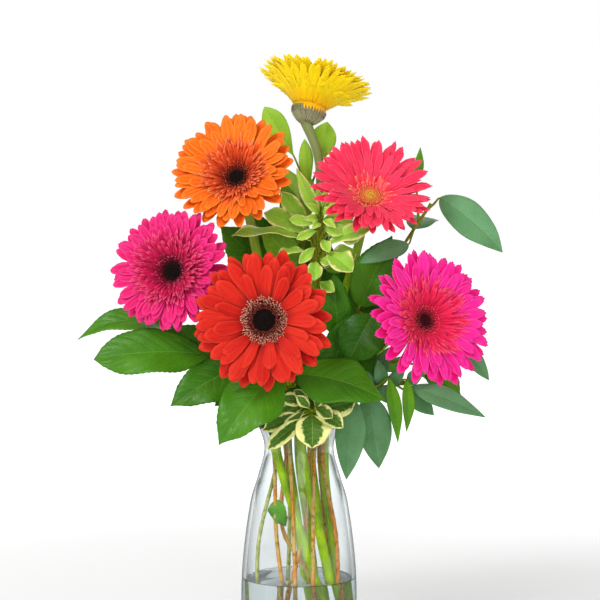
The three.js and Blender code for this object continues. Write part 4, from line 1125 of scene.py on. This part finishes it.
class GERBERA_OT_vase(GerberaOperator, bpy.types.Operator):
    """Turn the waisted glass vase"""

    bl_idname = "gerbera.vase"
    bl_label = "Vase"

    def execute(self, context):
        settings = context.scene.gerbera_vase
        height, wall = settings.height / MM, settings.wall / MM
        outer = vase_side()
        inner = [(radius - wall, max(z, 14.0)) for radius, z in outer if 13 < z < height - 1.5]
        sides = [point for point in outer if 9 < point[1] < height - 1.5]
        lip = outer[-1][0]
        edge = [(lip + out, height - down) for out, down in (
            (0.1, 1.4), (-0.4, 0.4), (-1.6, 0), (-2.6, 0.4), (-3.1, 1.4))]
        heel = [(0, 0), (39.5, 0), (42.2, 1.0), (43.8, 3.2), (44.6, 6.4)]
        bm = new_mesh()
        turned(bm, [*heel, *sides, *edge, *reversed(inner), *hollow_floor(inner[0][0])], 96)
        finish_piece("glass_vase", bm, [glass_finish(settings)], "glass", "vase").visible_shadow = False
        return {"FINISHED"}


class GERBERA_OT_water(GerberaOperator, bpy.types.Operator):
    """Fill the vase to its low water level"""

    bl_idname = "gerbera.water"
    bl_label = "Water"

    def execute(self, context):
        settings = context.scene.gerbera_vase
        level, wall = settings.water_level / MM, settings.wall / MM
        meet = 0.12
        side = [(radius - wall + meet, z) for radius, z in vase_side() if 14 < z < level]
        brim = side[-1][0]
        bottom = [(radius, z - meet) for radius, z in reversed(hollow_floor(side[0][0]))]
        top = [(brim, level), (brim - 1.2, level - 0.7), (brim - 4, level - 1), (0, level - 1)]
        bm = new_mesh()
        turned(bm, [*bottom, *side, *top], 96)
        finish_piece("clear_water", bm, [water_finish(settings.water_level)], "water", "water")
        return {"FINISHED"}


class GERBERA_OT_stems(GerberaOperator, bpy.types.Operator):
    """Grow the six flower stems with their bracts"""

    bl_idname = "gerbera.stems"
    bl_label = "Flower Stems"

    def execute(self, context):
        settings = context.scene.gerbera_greens
        shared = [stem_finish(tuple(settings.stem)), calyx_finish()]
        for index, (name, bloom) in enumerate(BLOOMS.items(), start=1):
            root = srgb(*bloom.root)
            foot = inner_finish(f"{name} petal foot", root, root, srgb(*bloom.edge))
            stem_piece(name, bloom, SEEDS * index + STEM_SEEDS, settings.stem_radius / MM, [*shared, foot])
        return {"FINISHED"}


class GERBERA_OT_petals(GerberaOperator, bpy.types.Operator):
    """Lay the ray petals and inner florets of the six blooms"""

    bl_idname = "gerbera.petals"
    bl_label = "Petals"

    def execute(self, context):
        settings = context.scene.gerbera_petals
        for index, (name, bloom) in enumerate(BLOOMS.items(), start=1):
            rays = petal_finish(f"{name} petal", tuple(getattr(settings, name)), srgb(*bloom.root),
                                srgb(*bloom.edge), bloom.groove, bloom.soft)
            inner = inner_finish(f"{name} inner floret", *(srgb(*tone) for tone in bloom.floret))
            petals_piece(name, bloom, SEEDS * index, settings.thickness / MM, [rays, inner])
        return {"FINISHED"}


class GERBERA_OT_florets(GerberaOperator, bpy.types.Operator):
    """Set the disc florets and bristles in the middle of each bloom"""

    bl_idname = "gerbera.florets"
    bl_label = "Disc Florets"

    def execute(self, context):
        for index, (name, bloom) in enumerate(BLOOMS.items(), start=1):
            materials = [floret_finish(*bloom.bud), floret_finish(*bloom.bristle)]
            disc_piece(name, bloom, SEEDS * index + EYE_SEEDS, materials)
        return {"FINISHED"}


class GERBERA_OT_salal(GerberaOperator, bpy.types.Operator):
    """Grow the salal stems with their broad glossy leaves"""

    bl_idname = "gerbera.salal"
    bl_label = "Salal"

    def execute(self, context):
        settings = context.scene.gerbera_greens
        finish = veined_finish(
            "salal leaf", tuple(settings.salal), 8.0, 0.16, 0.3, srgb(88, 152, 12), 0.36, srgb(112, 160, 60))
        look = Look(grain=2.1, teeth=0.55, veins=8, lean=0.3, quilt=0.95, droop=0.1, point=1.1, sway=0.07)
        for name, (marks, leaves) in SALAL.items():
            spray_piece(name, marks, leaves, look, finish, "salal_leaf", settings)
        return {"FINISHED"}


class GERBERA_OT_pittosporum(GerberaOperator, bpy.types.Operator):
    """Grow the variegated pittosporum stems"""

    bl_idname = "gerbera.pittosporum"
    bl_label = "Pittosporum"

    def execute(self, context):
        settings = context.scene.gerbera_greens
        cream = tuple(settings.cream)
        upper = veined_finish("light variegated leaf", tuple(settings.pittosporum), 7.0, 0.14, 0.25,
                              srgb(192, 244, 84), 0.42, srgb(210, 236, 130), (0.68, 0.98, cream))
        lower = veined_finish("dark variegated leaf", srgb(64, 124, 22), 7.0, 0.14, 0.25,
                              srgb(112, 160, 44), 0.34, srgb(180, 200, 110), (0.55, 0.7, cream))
        look = Look(grain=1.5, teeth=0.0, veins=6, lean=0.25, quilt=0.25, droop=0.0, point=0.8, sway=0.06)
        for (name, (marks, leaves)), finish in zip(PITTOSPORUM.items(), (upper, lower)):
            spray_piece(name, marks, leaves, look, finish, "variegated_leaf", settings)
        return {"FINISHED"}


class GERBERA_OT_eucalyptus(GerberaOperator, bpy.types.Operator):
    """Grow the blue-green eucalyptus stems"""

    bl_idname = "gerbera.eucalyptus"
    bl_label = "Eucalyptus"

    def execute(self, context):
        settings = context.scene.gerbera_greens
        finish = veined_finish("eucalyptus leaf", tuple(settings.eucalyptus), 11.0, 0.1, 0.2,
                               srgb(120, 174, 128), 0.5, srgb(136, 176, 126))
        narrow = veined_finish("narrow leaf", srgb(50, 120, 6), 9.0, 0.12, 0.3,
                               srgb(100, 164, 14), 0.4, srgb(130, 180, 60))
        look = Look(grain=1.8, teeth=0.0, veins=9, lean=0.2, quilt=0.12, droop=0.12, point=0.9, sway=0.03,
                    narrow=narrow)
        for name, (marks, leaves) in EUCALYPTUS.items():
            spray_piece(name, marks, leaves, look, finish, "eucalyptus_leaf", settings)
        return {"FINISHED"}


class GERBERA_OT_top_greens(GerberaOperator, bpy.types.Operator):
    """Grow the tall stem of light greens behind the blooms"""

    bl_idname = "gerbera.top_greens"
    bl_label = "Top Greens"

    def execute(self, context):
        finish = veined_finish("light green leaf", srgb(112, 178, 24), 7.0, 0.14, 0.25,
                               srgb(172, 222, 56), 0.4, srgb(190, 214, 100))
        look = Look(grain=1.7, teeth=0.0, veins=7, lean=0.25, quilt=0.25, droop=0.1, point=0.8, sway=0.05)
        for name, (marks, leaves) in TOP_GREENS.items():
            spray_piece(name, marks, leaves, look, finish, "light_leaf", context.scene.gerbera_greens)
        return {"FINISHED"}


class GERBERA_OT_stage(GerberaOperator, bpy.types.Operator):
    """Set the pale floor, the soft lights and the camera"""

    bl_idname = "gerbera.stage"
    bl_label = "Stage"

    def softbox(self, scene, name, place, size, power, mirrored=True):
        light = bpy.data.lights.new(name, "AREA")
        light.shape = "DISK"
        light.size = size
        light.energy = power
        lamp = bpy.data.objects.new(name, light)
        lamp.location = place
        lamp.rotation_euler = (Vector(LIT) - lamp.location).to_track_quat("-Z", "Y").to_euler()
        lamp.visible_glossy = mirrored
        scene.collection.objects.link(lamp)

    def soft_white(self, ambient):
        """Even light all round, seen as plain white behind the object and through the glass."""
        world = bpy.data.worlds.new("soft white")
        world.use_nodes = True
        tree = world.node_tree
        sky = next(node for node in tree.nodes if node.type == "BACKGROUND")
        sky.inputs["Color"].default_value = (1, 1, 1, 1)
        ray = tree.nodes.new("ShaderNodeLightPath")
        before = None
        for kind, value in (("Is Glossy Ray", 0.22), ("Is Transmission Ray", 1.0), ("Glossy Depth", 0.3),
                            ("Diffuse Depth", ambient), ("Is Camera Ray", 1.0)):
            step = tree.nodes.new("ShaderNodeMapRange")
            step.inputs["To Min"].default_value = ambient
            step.inputs["To Max"].default_value = value
            tree.links.new(ray.outputs[kind], step.inputs["Value"])
            if before:
                tree.links.new(before.outputs[0], step.inputs["To Min"])
            before = step
        tree.links.new(before.outputs[0], sky.inputs["Strength"])
        return world

    def execute(self, context):
        scene = context.scene
        settings = scene.gerbera_stage
        bm = bmesh.new()
        bmesh.ops.create_grid(bm, x_segments=8, y_segments=8, size=FLOOR_REACH)
        mesh = bpy.data.meshes.new("floor")
        bm.to_mesh(mesh)
        bm.free()
        mesh.materials.append(floor_finish(settings))
        floor = bpy.data.objects.new("floor", mesh)
        scene.collection.objects.link(floor)
        floor.visible_glossy = False
        power = settings.key_power
        self.softbox(scene, "key softbox", (-1.1, -1.3, 1.6), 0.8, power)
        self.softbox(scene, "front softbox", (0.3, -2.4, 0.7), 1.4, power * 0.75, mirrored=False)
        self.softbox(scene, "rim softbox", (0.6, 1.4, 1.4), 1.0, power * 0.4)
        scene.world = self.soft_white(settings.ambient)
        camera = bpy.data.objects.new("camera", bpy.data.cameras.new("camera"))
        camera.data.lens = settings.lens
        camera.data.sensor_width = 36
        camera.location = CAMERA
        aim = Vector(CAMERA_AIM) - camera.location
        camera.rotation_euler = aim.to_track_quat("-Z", "Y").to_euler()
        scene.collection.objects.link(camera)
        scene.camera = camera
        scene.view_settings.view_transform = "Standard"
        return {"FINISHED"}


class GERBERA_PT_panel(bpy.types.Panel):
    """Lists the builders in the order they run"""

    bl_idname = "GERBERA_PT_panel"
    bl_label = "Gerberas in a Vase"
    bl_space_type = "VIEW_3D"
    bl_region_type = "UI"
    bl_category = "Gerberas"

    def draw(self, context):
        for builder in BUILDERS:
            self.layout.operator(builder.bl_idname)
        for group in GROUPS:
            settings = getattr(context.scene, group)
            for key in settings.bl_rna.properties.keys():
                if key not in ("rna_type", "name"):
                    self.layout.prop(settings, key)


BUILDERS = (
    GERBERA_OT_vase,
    GERBERA_OT_water,
    GERBERA_OT_stems,
    GERBERA_OT_petals,
    GERBERA_OT_florets,
    GERBERA_OT_salal,
    GERBERA_OT_pittosporum,
    GERBERA_OT_eucalyptus,
    GERBERA_OT_top_greens,
    GERBERA_OT_stage,
)
GROUPS = {
    "gerbera_petals": PetalSettings,
    "gerbera_greens": GreenSettings,
    "gerbera_vase": VaseSettings,
    "gerbera_stage": StageSettings,
}


def register():
    for cls in (*GROUPS.values(), *BUILDERS, GERBERA_PT_panel):
        bpy.utils.register_class(cls)
    for name, cls in GROUPS.items():
        setattr(bpy.types.Scene, name, bpy.props.PointerProperty(type=cls))


def unregister():
    for name in GROUPS:
        delattr(bpy.types.Scene, name)
    for cls in reversed((*GROUPS.values(), *BUILDERS, GERBERA_PT_panel)):
        bpy.utils.unregister_class(cls)


def main():
    register()
    bpy.ops.gerbera.vase()
    bpy.ops.gerbera.water()
    bpy.ops.gerbera.stems()
    bpy.ops.gerbera.petals()
    bpy.ops.gerbera.florets()
    bpy.ops.gerbera.salal()
    bpy.ops.gerbera.pittosporum()
    bpy.ops.gerbera.eucalyptus()
    bpy.ops.gerbera.top_greens()
    bpy.ops.gerbera.stage()
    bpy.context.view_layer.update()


if __name__ == "__main__":
    main()
